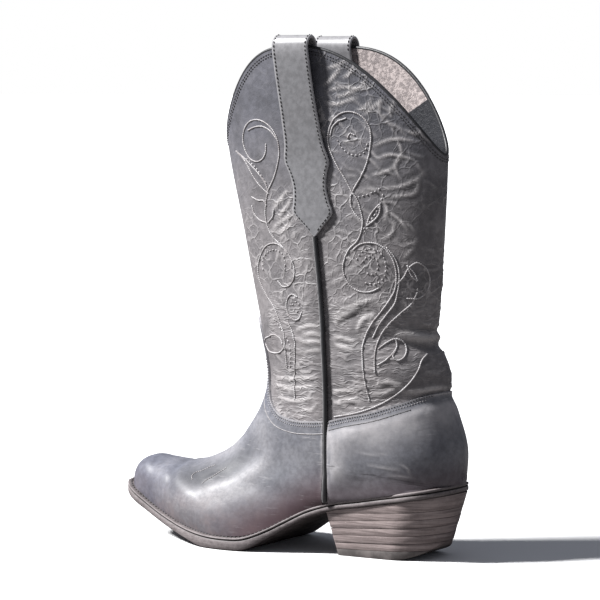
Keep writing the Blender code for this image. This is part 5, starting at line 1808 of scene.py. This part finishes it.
@dataclass
class PullStrap:
    """Leather loop over the collar: a shaped tab sewn to the shaft, free above it, and down inside."""

    # steps over the collar and down inside it, and how many gaps clear the strap is of the binding
    TURN_STEPS, INNER_STEPS, CLEAR_GAPS = 12, 5, 3.5
    # the stitched rows: the first row of places, the share of them passed, and how near the middle they come
    ROW_FROM, ROW_SHARE, ROW_NEAREST = 4, 0.8, 0.1
    # least share of the half width that is flat, and shares of the thickness at the rounded edges
    FLAT_LEAST, EDGE_AT = 0.3, (0.28, 0.72)
    # paler: how far in from the edges it is rubbed, and the painted highlight over the top bend: how strong,
    # and how far down from the top
    RUB_IN, RUB_TOP, RUB_DOWN = 1.1, 0.4, (18.0, 3.0)

    side: Side
    form: BootForm
    finish: bpy.types.Material
    # height, half width and how far it stands off the shaft
    leg: Table = ((216.5, 0.8, 0.0), (224.0, 8.0, 0.0), (232.5, 15.5, 0.0), (240.0, 14.2, 0.0),
                  (250.0, 13.2, 0.0), (259.0, 15.0, 0.0), (266.0, 17.6, 0.0), (278.0, 15.6, 0.8),
                  (295.0, 14.7, 2.4), (315.0, 14.4, 4.4), (332.0, 14.4, 5.6), (344.0, 14.4, 5.8))
    top: float = 352.0
    inner_end: float = 306.0
    thickness: float = 2.0
    bead: float = 1.7
    corner: float = 0.55
    across: int = 19
    rows: int = 150

    def _line(self) -> Array:
        """Rows of z, half width and the inner face's distance from the shaft, from tip to inner end."""
        gap, wall = self.form.GAP, self.form.WALL
        rows = [(z, half, gap + off) for z, half, off in self.leg]
        last_z, half, off = self.leg[-1]
        outer, inner = gap + off, -(wall / 2 + self.bead + self.CLEAR_GAPS * gap)
        rise = self.top - self.thickness - last_z
        for turn in np.linspace(0.0, math.pi, self.TURN_STEPS + 1)[1:]:
            rows.append((last_z + rise * math.sin(turn), half,
                         (outer + inner) / 2 + (outer - inner) / 2 * math.cos(turn)))
        for share in np.linspace(0.0, 1.0, self.INNER_STEPS + 1)[1:]:
            rows.append((last_z + (self.inner_end - last_z) * share, half,
                         inner - (wall + gap + inner) * share))
        rows = np.array(rows)
        run = np.concatenate([[0.0], np.cumsum(np.hypot(np.diff(rows[:, 0]), np.diff(rows[:, 2])))])
        return smooth_curve(np.column_stack([run, rows]), np.linspace(0.0, run[-1], self.rows))

    def _points(self, z: Array, lane: Array, distance: Array, through: Array) -> Array:
        """Points in metres on the strap.

        Args:
            z: height of each row of places.
            lane: how far across the strap each place is, row by row.
            distance: how far each row's inner face is from the shaft.
            through: share of the thickness of each column of places.

        Returns:
            The points, row by row.
        """
        heading = unit(np.gradient(np.column_stack([z, distance]), axis=0))
        under = np.minimum(z, self.form.COLLAR_PEAK)[:, None]
        f = self.form.seam(under) + lane
        lift = self.thickness * through
        y = self.form.flank_half(f, under) + distance[:, None] + lift * heading[:, :1]
        return world(f, self.side.value * y, z[:, None] - lift * heading[:, 1:])

    def row(self, inside: float) -> Array:
        """Line on the outer face, inside one edge by a distance; below zero for the edge nearer the heel."""
        z, half, distance = self._line()[self.ROW_FROM:int(self.rows * self.ROW_SHARE)].T
        lane = np.sign(inside) * np.maximum(half - abs(inside), self.ROW_NEAREST)
        return self._points(z, lane[:, None], distance, np.ones(1))[:, 0]

    def build(self) -> bpy.types.Object:
        """Makes the strap with rounded edges and dresses it."""
        z, half, distance = self._line().T
        a = np.linspace(-1.0, 1.0, self.across)
        rim, flat = half[:, None], np.maximum(half - self.corner, self.FLAT_LEAST * half)[:, None]
        lane = np.concatenate([flat * a, rim, rim, flat * a[::-1], -rim, -rim], axis=1)
        through = np.concatenate([np.zeros(self.across), self.EDGE_AT, np.ones(self.across),
                                  self.EDGE_AT[::-1]])
        points = self._points(z, lane, distance, through)
        count, columns = lane.shape
        faces = grid_faces(count, columns, wrap_columns=True, flip=self.side is Side.OUTER)
        ends = [tuple(range(columns)), tuple(range((count - 1) * columns, count * columns))[::-1]]
        faces += ends if self.side is Side.INNER else [end[::-1] for end in ends]
        over_top = fade(z, *(self.top - down for down in self.RUB_DOWN))[:, None]
        # rubbed paler along the edges, with a painted highlight over the top bend
        edge = np.maximum(fade(rim - np.abs(lane), self.RUB_IN, 0.0), self.RUB_TOP * over_top)
        side = self.side.name.lower()
        mesh = new_mesh(f"strap_{side}", points.reshape(-1, 3), faces, {"edge": edge.ravel()})
        return place(f"strap_{side}", mesh, [self.finish], [f"pull_strap_{side}"],
                     sharp_deg=50.0)


@dataclass
class Sole:
    """Insole, welt and outsole, all drawn from the feather edge."""

    # how far each ring of the welt's section is rubbed paler, and how dark its painted shade is, from under
    # the upper out
    WELT_EDGE = (0.0, 0.0, 0.3, 0.6, 1.0, 0.8, 0.5, 0.1, 0.0)
    WELT_TROUGH = (0.0, 0.0, 0.0, 0.0, 0.0, 0.0, 0.3, 1.0, 1.0)
    # the same for the outsole, from its top edge to its underside
    SOLE_EDGE, SOLE_TROUGH = (0.0, 0.2, 0.4, 0.15, 0.1, 0.0), (0.9, 0.6, 0.0, 0.0, 0.25, 0.5)
    # share of the stations that bunch towards heel and toe
    BUNCH = 0.35

    form: BootForm
    finishes: Finishes
    stations: int = 120
    lanes: int = 7
    welt_thickness: float = 2.6
    insole_thickness: float = 3.4
    insole_corner: tuple[float, float] = (0.8, 0.5)
    welt_under_upper: float = 6.0
    round_off: float = 0.9
    # fall of the welt's top towards its rim, and where the rand round the heel, painted paler as painted
    # light, starts and ends
    slope: float = 0.22
    rand_start: tuple[float, float] = (20.0, 60.0)
    rand_end: tuple[float, float] = (100.0, 92.0)
    rand_least: float = 0.35
    rim_table: Table = ((0.0, 2.3), (70.0, 2.3), (95.0, 3.0), (120.0, 3.0), (150.0, 4.8), (180.0, 6.0),
                        (270.0, 6.0))

    def rim(self, f: Array) -> Array:
        """How far welt and outsole stand out past the feather edge."""
        return smooth_curve(self.rim_table, f)[..., 0]

    def welt_low(self, f: Array) -> Array:
        """Height of the welt's underside."""
        return self.form.feather(f) - self.form.GAP - self.welt_thickness

    def welt_high(self, f: Array) -> Array:
        """Height of the welt's top against the upper."""
        return self.welt_low(f) + self.welt_thickness

    def welt_rim_high(self, f: Array) -> Array:
        """Height of the welt's top at its rim."""
        return self.welt_high(f) - self.slope * self.rim(f)

    def sole_high(self, f: Array) -> Array:
        """Height of the outsole's top."""
        return self.welt_low(f) - self.form.GAP

    def loop(self, distance: Callable[[Array], Array | float]) -> Array:
        """(f, y) round the feather edge moved outwards: heel, outer side, toe and back by the inner side."""
        t = np.linspace(0.0, 1.0, self.stations + 1)
        t = (1 - self.BUNCH) * t + self.BUNCH * (1 - np.cos(math.pi * t)) / 2
        f = self.form.HEEL_END + (self.form.TOE_END - self.form.HEEL_END) * t
        half, middle = self.form.outline_half(f), self.form.swing(f, np.zeros(len(f)))
        line = np.concatenate([np.column_stack([f, middle - half]),
                               np.column_stack([f, middle + half])[-2:0:-1]])
        run = unit(np.roll(line, -1, axis=0) - np.roll(line, 1, axis=0))
        out = np.broadcast_to(distance(line[:, 0]), (len(line),))
        return line + np.column_stack([run[:, 1], -run[:, 0]]) * out[:, None]

    def _ring(self, inset: float, height: Callable[[Array], Array], rise: float = 0.0) -> Array:
        """Points right round the rim, inset from it, at a height that follows the foot's length."""
        f, y = self.loop(lambda at: self.rim(at) - inset).T
        return world(f, y, height(f) + rise)

    def _plate(self, name: str, rings: Sequence[Array], masks: dict[str, Sequence[float]]) -> bpy.types.Mesh:
        """Closed plate: rings from the top's edge to the bottom's, with top and bottom ruled across."""
        share = np.linspace(0.0, 1.0, self.lanes + 2)[1:-1, None]
        rows = []
        for i in range(self.stations + 1):
            j = -i % (2 * self.stations)
            down, up = [ring[i] for ring in rings], [ring[j] for ring in rings[::-1]]
            rows.append([*down, *(down[-1] + (up[0] - down[-1]) * share), *up,
                         *(up[-1] + (down[0] - up[-1]) * share)])
        points, bare = np.array(rows), [0.0] * self.lanes
        worn = {key: np.tile([*levels, *bare, *levels[::-1], *bare], len(rows))
                for key, levels in masks.items()}
        return new_mesh(name, points.reshape(-1, 3), grid_faces(*points.shape[:2], wrap_columns=True), worn)

    def build_welt(self) -> bpy.types.Object:
        """Makes the strip round the whole sole, with rounded outer corners, and dresses it."""
        low, high, r = self.welt_low, self.welt_rim_high, self.round_off
        f, y = self.loop(lambda at: -self.welt_under_upper).T
        rings = [world(f, y, low(f)), world(f, y, self.welt_high(f))]
        rings += [self._ring(*corner) for corner in (
            (2 * r, high, 0.25), (r, high, 0.1), (r * 0.25, high, -r * 0.2), (0.0, high, -r * 0.5),
            (0.0, low, r * 0.6), (r * 0.3, low, r * 0.2), (r, low))]
        points = np.stack(rings, axis=1)
        # the rand over the heel is painted paler: painted light
        rand = fade(f, *self.rand_end) * fade(f, *self.rand_start)
        rubbed = self.rand_least + (1 - self.rand_least) * rand
        mesh = new_mesh("welt_strip", points.reshape(-1, 3),
                        grid_faces(*points.shape[:2], wrap_rows=True, wrap_columns=True),
                        {"edge": np.outer(rubbed, self.WELT_EDGE).ravel(),
                         "trough": np.tile(self.WELT_TROUGH, len(points))})
        return place("welt_strip", mesh, [self.finishes.sole], ["welt"], sharp_deg=70.0)

    def build_outsole(self) -> bpy.types.Object:
        """Makes the sole with rounded corners and dresses it."""
        top, under, r = self.sole_high, self.form.underside, self.round_off
        rings = [self._ring(*corner) for corner in (
            (r, top), (r * 0.3, top, -r * 0.2), (0.0, top, -r),
            (0.0, under, r * 1.2), (r * 0.4, under, r * 0.35), (r * 1.4, under))]
        mesh = self._plate("outsole_leather", rings, {"edge": self.SOLE_EDGE, "trough": self.SOLE_TROUGH})
        return place("outsole_leather", mesh, [self.finishes.sole], ["outsole"],
                     sharp_deg=70.0)

    def build_insole(self) -> bpy.types.Object:
        """Makes the footbed and dresses it."""
        inset = self.welt_under_upper + self.form.GAP
        corner_in, corner_down = self.insole_corner
        f, y = self.loop(lambda at: -inset).T
        shrunk_f, shrunk_y = self.loop(lambda at: -inset - corner_in).T
        rings = [world(shrunk_f, shrunk_y, self.welt_low(shrunk_f) + self.insole_thickness),
                 world(f, y, self.welt_low(f) + self.insole_thickness - corner_down),
                 world(f, y, self.welt_low(f))]
        return place("footbed", self._plate("footbed", rings, {}), [self.finishes.footbed],
                     ["insole"], sharp_deg=60.0)


@dataclass
class Heel:
    """Stacked heel: rubber cap, five lifts and the wedge under the seat, cut from one tapered block."""

    # points round the back and across the breast of a ring
    BACK_POINTS, BREAST_POINTS = 49, 13
    # reach of the prisms that cut the block into layers: along the foot, points along it, and to each side
    CUT_FROM, CUT_TO, CUT_POINTS, CUT_HALF = -6.0, 100.0, 213, 50.0
    CUT_THINNEST = 0.12
    BELOW = -1.0
    ROUND_OVER_DEG = 40.0

    form: BootForm
    finishes: Finishes
    # height, breast, where the straight sides end, back, half width
    foot: tuple[float, ...] = (0.0, 81.0, 42.0, 14.0, 27.0)
    head: tuple[float, ...] = (48.0, 93.0, 34.0, -0.6, 32.9)
    hollow: float = 3.0
    # height at the middle and rise to the back in degrees
    joints: Table = ((5.6, 2.0), (10.6, 2.6), (15.8, 3.1), (21.0, 3.6), (26.2, 4.0), (31.4, 4.4))
    middle: float = 52.0
    bevel: Table = ((42.0, 0.0), (32.0, 1.2), (23.0, 3.8), (16.5, 7.2), (11.5, 11.5), (6.0, 17.5))
    # how far each piece stands out or in from the block, from the cap up
    proud: tuple[float, ...] = (0.0, -0.25, 0.05, -0.12, 0.08, -0.1, 0.0)
    round_off: float = 0.5

    def _loop(self, at: tuple[float, ...], proud: float) -> Array:
        """D-shaped ring: straight sides, round back and hollowed breast."""
        z, breast, straight, back, half = at
        turn = np.linspace(-math.pi / 2, math.pi / 2, self.BACK_POINTS)
        half += proud
        round_back = np.column_stack([straight - (straight - back + proud) * np.cos(turn),
                                      half * np.sin(turn)])
        y = np.linspace(half, -half, self.BREAST_POINTS)
        front = np.column_stack([breast - self.hollow * (1 - (y / half) ** 2), y])
        ring = np.concatenate([round_back, front])
        return world(ring[:, 0], ring[:, 1], np.full(len(ring), z))

    def _solid(self, name: str, rows: Array) -> bpy.types.Object:
        """A block lofted through rings and closed at both ends."""
        count, around = rows.shape[:2]
        faces = grid_faces(count, around, wrap_columns=True)
        faces += [tuple(range(around)), tuple(range((count - 1) * around, count * around))[::-1]]
        mesh = new_mesh(name, rows.reshape(-1, 3), faces)
        bm = bmesh.new()
        bm.from_mesh(mesh)
        bmesh.ops.recalc_face_normals(bm, faces=bm.faces)
        bm.to_mesh(mesh)
        bm.free()
        return link(name, mesh)

    def _joint(self, i: int, f: Array) -> Array:
        """Height of a joint between pieces."""
        z, rise = self.joints[i]
        return z + (self.middle - f) * math.tan(math.radians(rise))

    def _layer(self, i: int) -> bpy.types.Object:
        """Wide prism that holds one piece: over its joint and the bevel, under the next and the sole."""
        f = np.linspace(self.CUT_FROM, self.CUT_TO, self.CUT_POINTS)
        gap = self.form.GAP
        high = self.form.underside(f) - gap
        if i < len(self.joints):
            high = np.minimum(high, self._joint(i, f) - gap / 2)
        worn = smooth_curve(sorted(self.bevel), np.maximum(f, self.bevel[-1][0]))[..., 0]
        worn = np.where(f < self.bevel[0][0], worn, self.BELOW)
        low = np.maximum(worn, self._joint(i - 1, f) + gap / 2 if i else self.BELOW)
        keep = np.flatnonzero(high - low > self.CUT_THINNEST)
        f, low, high = f[keep], low[keep], high[keep]
        outline = np.concatenate([np.column_stack([f, low]), np.column_stack([f, high])[::-1]])
        ends = [world(outline[:, 0], y, outline[:, 1]) for y in (-self.CUT_HALF, self.CUT_HALF)]
        return self._solid("layer", np.stack(ends))

    def build(self) -> list[bpy.types.Object]:
        """Makes every piece of the stack and dresses it."""
        nodes = ["heel_cap", *(f"heel_lift_{i}" for i in range(1, len(self.joints))), "heel_wedge"]
        made = []
        for i, node in enumerate(nodes):
            block = np.stack([self._loop(end, self.proud[i]) for end in (self.foot, self.head)])
            piece, layer = self._solid(node, block), self._layer(i)
            cut = piece.modifiers.new("layer", "BOOLEAN")
            cut.operation, cut.object, cut.solver = "INTERSECT", layer, "EXACT"
            soft = piece.modifiers.new("round", "BEVEL")
            soft.width, soft.segments, soft.limit_method = self.round_off * MM, 2, "ANGLE"
            soft.angle_limit = math.radians(self.ROUND_OVER_DEG)
            mesh = finished_mesh(piece)
            for spare in (piece, layer):
                bpy.data.objects.remove(spare)
            mesh.shade_smooth()
            finish, slot = (self.finishes.stack, "heel_stack") if i else (self.finishes.rubber, "heel_rubber")
            made.append(place(f"{node}_piece", mesh, [finish], [node], sharp_deg=35.0))
        return made


@dataclass(frozen=True)
class StitchKind:
    """Size of a stitch and its spacing, in millimetres."""

    pitch: float
    length: float
    width: float
    lift: float = 0.15
    uneven: float = 0.14


class Stitcher:
    """Sews rows of stitches along paths with one Geometry Nodes tree."""

    SEED = 11
    SOCKETS = {"Pitch": "NodeSocketFloat", "Length": "NodeSocketFloat", "Width": "NodeSocketFloat",
               "Uneven": "NodeSocketFloat", "Seed": "NodeSocketInt", "Thread": "NodeSocketMaterial"}

    def __init__(self) -> None:
        """Builds the tree: path, points by pitch, a small rounded stitch on each, turned along the path."""
        self.tree = bpy.data.node_groups.new("stitch row", "GeometryNodeTree")
        face = self.tree.interface
        face.new_socket(name="Path", in_out="INPUT", socket_type="NodeSocketGeometry")
        self.inputs = {name: face.new_socket(name=name, in_out="INPUT", socket_type=kind).identifier
                       for name, kind in self.SOCKETS.items()}
        face.new_socket(name="Stitches", in_out="OUTPUT", socket_type="NodeSocketGeometry")
        sheet = Sheet(self.tree)
        given = sheet.add("NodeGroupInput").outputs
        path = sheet.add("GeometryNodeMeshToCurve", {"Mesh": given["Path"]}).outputs["Curve"]
        dots = sheet.add("GeometryNodeResampleCurve", {"Curve": path, "Length": given["Pitch"]},
                         mode="LENGTH")
        ball = sheet.add("GeometryNodeMeshUVSphere",
                         {"Segments": 6, "Rings": 4, "Radius": 0.5}).outputs["Mesh"]
        along = sheet.add("GeometryNodeInputTangent").outputs[0]
        turn = sheet.add("FunctionNodeAlignRotationToVector", {"Vector": along}, axis="X").outputs["Rotation"]
        size = sheet.add("ShaderNodeCombineXYZ", {0: given["Length"], 1: given["Width"], 2: given["Width"]})
        spread = sheet.add("FunctionNodeRandomValue", {"Min": sheet.math("SUBTRACT", 1.0, given["Uneven"]),
                                                       "Max": sheet.plus(1.0, given["Uneven"]),
                                                       "Seed": given["Seed"]})
        factor = next(out for out in spread.outputs if out.enabled)
        sewn = sheet.add("GeometryNodeInstanceOnPoints", {
            "Points": dots.outputs["Curve"], "Instance": ball, "Rotation": turn,
            "Scale": sheet.vector("SCALE", {0: size.outputs[0], 3: factor})}).outputs["Instances"]
        whole = sheet.add("GeometryNodeRealizeInstances", {"Geometry": sewn}).outputs["Geometry"]
        smooth = sheet.add("GeometryNodeSetShadeSmooth", {"Geometry": whole, "Shade Smooth": True}).outputs[0]
        dressed = sheet.add("GeometryNodeSetMaterial", {"Geometry": smooth, "Material": given["Thread"]})
        sheet.feed(sheet.add("NodeGroupOutput").inputs["Stitches"], dressed.outputs[0])

    def sew(self, name: str, lines: Sequence[Array], kind: StitchKind, thread: bpy.types.Material, slot: str,
            on: bpy.types.Object) -> bpy.types.Object:
        """Sews rows onto a finished piece.

        Args:
            name: the piece's name.
            lines: rows of points in metres, near the surface.
            kind: the stitch.
            thread: its finish.
            slot: the record's material slot; not used.
            on: the piece that the rows settle on.

        Returns:
            The stitches, as one piece.
        """
        skin = BVHTree.FromObject(on, bpy.context.evaluated_depsgraph_get())
        points, edges = [], []
        for line in lines:
            first = len(points)
            for point in line:
                spot, normal, _, _ = skin.find_nearest(Vector(point))
                points.append(spot + normal * kind.lift * MM)
            edges += [(i, i + 1) for i in range(first, len(points) - 1)]
        mesh = bpy.data.meshes.new(name + "_path")
        mesh.from_pydata(points, edges, [])
        path = link(name + "_path", mesh)
        row = path.modifiers.new("stitches", "NODES")
        row.node_group = self.tree
        for key, value in (("Pitch", kind.pitch * MM), ("Length", kind.length * MM),
                           ("Width", kind.width * MM), ("Uneven", kind.uneven), ("Seed", self.SEED),
                           ("Thread", thread)):
            row[self.inputs[key]] = value
        sewn = finished_mesh(path)
        bpy.data.objects.remove(path)
        sewn.materials.clear()
        return place(name, sewn, [thread])


@dataclass
class Studio:
    """Pale floor, soft light from the camera's left, and the camera."""

    eye: tuple[float, float, float] = (0.981, -1.732, 0.320)
    aim: tuple[float, float, float] = (-0.5177, 0.8558, -0.0740)
    lens: float = 176.4
    sensor: float = 36.0
    key_to: tuple[float, float] = (-0.839, -0.545)
    key_elevation_deg: float = 45.0
    key_spread_deg: float = 9.0
    key_strength: float = 9.4
    key_distance: float = 3.0
    sky_strength: float = 0.2
    floor_size: float = 60.0
    # the floor lies this far under the soles
    floor_gap: float = 5e-5

    def _floor(self) -> None:
        """Lays the floor just under the soles."""
        reach = self.floor_size
        corners = [(x * reach, y * reach, -self.floor_gap) for x, y in ((-1, -1), (1, -1), (1, 1), (-1, 1))]
        mesh = new_mesh("floor", np.array(corners), [(0, 1, 2, 3)])
        mesh.materials.append(FloorFinish("studio floor", (rgb(0.80, 0.80, 0.80), rgb(0.82, 0.82, 0.82)),
                                          rgb(0.16, 0.153, 0.15)).make())
        floor = link("floor", mesh)

    def _key(self) -> None:
        """One broad soft light from the camera's left."""
        lamp = bpy.data.lights.new("key light", "SUN")
        lamp.energy, lamp.angle = self.key_strength, math.radians(self.key_spread_deg)
        lift = math.radians(self.key_elevation_deg)
        to = Vector((self.key_to[0] * math.cos(lift), self.key_to[1] * math.cos(lift), math.sin(lift)))
        key = link("key light", lamp)
        key.location = to * self.key_distance
        key.rotation_euler = (-to).to_track_quat("-Z", "Y").to_euler()

    def _sky(self) -> None:
        """A dim blue fill, which the camera sees as plain white."""
        sky = bpy.data.worlds.new("studio")
        bpy.context.scene.world = sky
        sky.use_nodes = True
        sheet, back = Sheet(sky.node_tree), sky.node_tree.nodes["Background"]
        seen = sheet.add("ShaderNodeLightPath").outputs["Is Camera Ray"]
        sheet.feed(back.inputs["Color"], sheet.mix(seen, rgb(0.90, 0.95, 1.1), rgb(1.0, 1.0, 1.0)))
        sheet.feed(back.inputs["Strength"], sheet.spread(seen, 0.0, 1.0, self.sky_strength, 1.0))

    def build(self) -> None:
        """Makes floor, light, sky and camera."""
        self._floor()
        self._key()
        self._sky()
        view = bpy.data.cameras.new("camera")
        view.lens, view.sensor_width = self.lens, self.sensor
        camera = link("camera", view)
        camera.location = self.eye
        camera.rotation_euler = Vector(self.aim).to_track_quat("-Z", "Y").to_euler()
        bpy.context.scene.camera = camera
        bpy.context.scene.view_settings.view_transform = "Standard"


class Boot:
    """The whole boot: builds its sub-assemblies in order and sews them."""

    # how far off the upper a row starts before it settles on its piece
    OFF_UPPER = 1.6
    # rows end this near the back middle line, and where the boot is this narrow
    ROW_END_BACK, ROW_END_HALF = 0.6, 0.8
    # the welt's row: its share of the way out to the rim, and how far forward it starts
    WELT_ROW_OUT, WELT_ROW_FROM, WELT_ROW_STEP = 0.52, 96.0, 1.2
    # rows under the collar's edge, and inside the strap's edges
    COLLAR_ROWS, STRAP_ROWS = (2.6, 4.4), (-1.7, 2.0)
    # rows inside an overlay's top edge
    EDGE_ROW, INNER_ROW, VAMP_CORD_ROW, COUNTER_CORD_ROW = 1.3, 3.3, 8.6, 6.6
    # distances between the points of a path
    SCROLL_STEP, TOE_STEP = 1.0, 0.8
    # stitches by pitch, length, width and lift
    SCROLL, DOTS = StitchKind(1.4, 2.3, 1.1), StitchKind(2.9, 1.7, 1.0)
    COLLAR, STRAP = StitchKind(2.3, 1.7, 0.75), StitchKind(2.7, 1.9, 1.0)
    EDGE, TOE = StitchKind(1.9, 1.3, 0.7, 0.05), StitchKind(1.7, 2.0, 0.8, 0.05)
    VAMP_CORD, COUNTER_CORD = StitchKind(1.2, 2.2, 0.75, 0.0), StitchKind(1.2, 2.0, 0.7, -0.1)
    WELT = StitchKind(3.1, 2.1, 1.0, 0.1)

    def __init__(self) -> None:
        """Prepares the form, the outlines and the finishes."""
        self.form = BootForm()
        self.skin = Skin(self.form)
        self.shapes = OverlayShapes(self.form)
        self.finishes = Finishes()
        self.stitcher = Stitcher()

    def build(self) -> None:
        """Makes every piece."""
        finishes = self.finishes
        self.upper = Upper(self.skin, self.shapes, finishes).build()
        self.vamp = Overlay("vamp_overlay", "vamp", self.skin, self.shapes.vamp, finishes.vamp, VAMP_CREASES,
                            sections=(2.8, 22.0), rows=132, columns=104).build()
        self.counter = Overlay("counter_overlay", "counter", self.skin, self.shapes.counter, finishes.vamp,
                               COUNTER_CREASES, sections=(5.8, 15.2), rows=100, columns=112, roll=1.6,
                               # the counter: a painted highlight band under its top, and painted shade over
                               # the welt
                               seam_roll=1.5, polish=(4.5, 9.0, 36.0), stain=0.6, stain_top=22.0).build()
        for side in Side:
            SidePiping(side, self.form, finishes.trim).build()
        self.straps = [PullStrap(side, self.form, finishes.strap) for side in Side]
        self.strap_pieces = [strap.build() for strap in self.straps]
        self.binding = CollarBinding(self.form, finishes.trim)
        self.binding.build()
        self.sole = Sole(self.form, finishes)
        self.sole.build_insole()
        self.welt = self.sole.build_welt()
        self.sole.build_outsole()
        Heel(self.form, finishes).build()
        for sew in (self.sew_scroll, self.sew_collar, self.sew_straps, self.sew_overlays, self.sew_welt):
            sew()

    def sew_scroll(self) -> None:
        """Sews the scroll embroidery on both sides of the shaft."""
        for name, lines, kind in (("scroll_rows", SCROLL_ROWS, self.SCROLL),
                                  ("scroll_dots", SCROLL_DOTS, self.DOTS)):
            paths = [self.skin.spot(*smooth_line(line, self.SCROLL_STEP).T, side)
                     for side in Side for line in lines.values()]
            self.stitcher.sew(name, paths, kind, self.finishes.pale_thread, "shaft_leather", self.upper)

    def sew_collar(self) -> None:
        """Sews two rows under the binding, right round the collar."""
        paths = [self.binding.below(gap) for gap in self.COLLAR_ROWS]
        self.stitcher.sew("collar_row", paths, self.COLLAR, self.finishes.dark_thread,
                          "shaft_leather", self.upper)

    def sew_straps(self) -> None:
        """Sews a row along both edges of each pull strap."""
        for strap, piece in zip(self.straps, self.strap_pieces):
            name, rows = strap.side.name.lower(), [strap.row(at) for at in self.STRAP_ROWS]
            self.stitcher.sew(f"strap_rows_{name}", rows, self.STRAP, self.finishes.dark_thread,
                              "strap_leather", piece)

    def _both_sides(self, f: Array, z: Array) -> list[Array]:
        """Points just off the upper on each side, from places seen from the side."""
        out = self.form.flank_half(f, z) + self.OFF_UPPER
        return [world(f, self.form.swing(f, z) + side.value * out, z) for side in Side]

    def _overlay_row(self, shape: OverlayShape, inside: float) -> list[Array]:
        """Rows near an overlay's surface, inside its top edge by a distance, on both sides."""
        f, z = shape.row(inside).T
        behind = f < Ovals(self.form, self.form.run_at(f, z)).base_f + self.ROW_END_BACK
        on = ~np.logical_or.accumulate(behind | (self.form.flank_half(f, z) < self.ROW_END_HALF))
        return self._both_sides(f[on], z[on])

    def sew_overlays(self) -> None:
        """Sews the rows along the top edges of vamp and counter, and the flourish behind the toe."""
        dark, pale = self.finishes.dark_thread, self.finishes.grey_thread
        vamp, counter = (self.shapes.vamp, self.vamp), (self.shapes.counter, self.counter)
        toe = [path for line in TOE_ROWS for path in self._both_sides(*smooth_line(line, self.TOE_STEP).T)]
        for name, (shape, piece), inside, kind, thread in (
                ("vamp_edge_row", vamp, self.EDGE_ROW, self.EDGE, dark),
                ("vamp_inner_row", vamp, self.INNER_ROW, self.EDGE, pale),
                ("counter_edge_row", counter, self.EDGE_ROW, self.EDGE, dark),
                ("counter_inner_row", counter, self.INNER_ROW, self.EDGE, pale),
                ("vamp_cord_row", vamp, self.VAMP_CORD_ROW, self.VAMP_CORD, pale),
                ("toe_rows", vamp, None, self.TOE, pale),
                ("counter_cord_row", counter, self.COUNTER_CORD_ROW, self.COUNTER_CORD, dark)):
            paths = toe if inside is None else self._overlay_row(shape, inside)
            self.stitcher.sew(name, paths, kind, thread, "vamp_leather", piece)

    def sew_welt(self) -> None:
        """Sews the row along the welt's top, from the shank round the toe."""
        f, y = self.sole.loop(lambda at: self.sole.rim(at) * self.WELT_ROW_OUT).T
        line = world(f, y, self.form.feather(f))[f > self.WELT_ROW_FROM]
        self.stitcher.sew("welt_row", [smooth_line(line, self.WELT_ROW_STEP * MM)],
                          self.WELT, self.finishes.dark_thread, "sole_leather", self.welt)


def main() -> None:
    """Builds the boot round its frame, then the studio."""
    logging.basicConfig(level=logging.INFO, format="%(name)s: %(message)s")
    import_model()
    Boot().build()
    Studio().build()


if __name__ == "__main__":
    main()
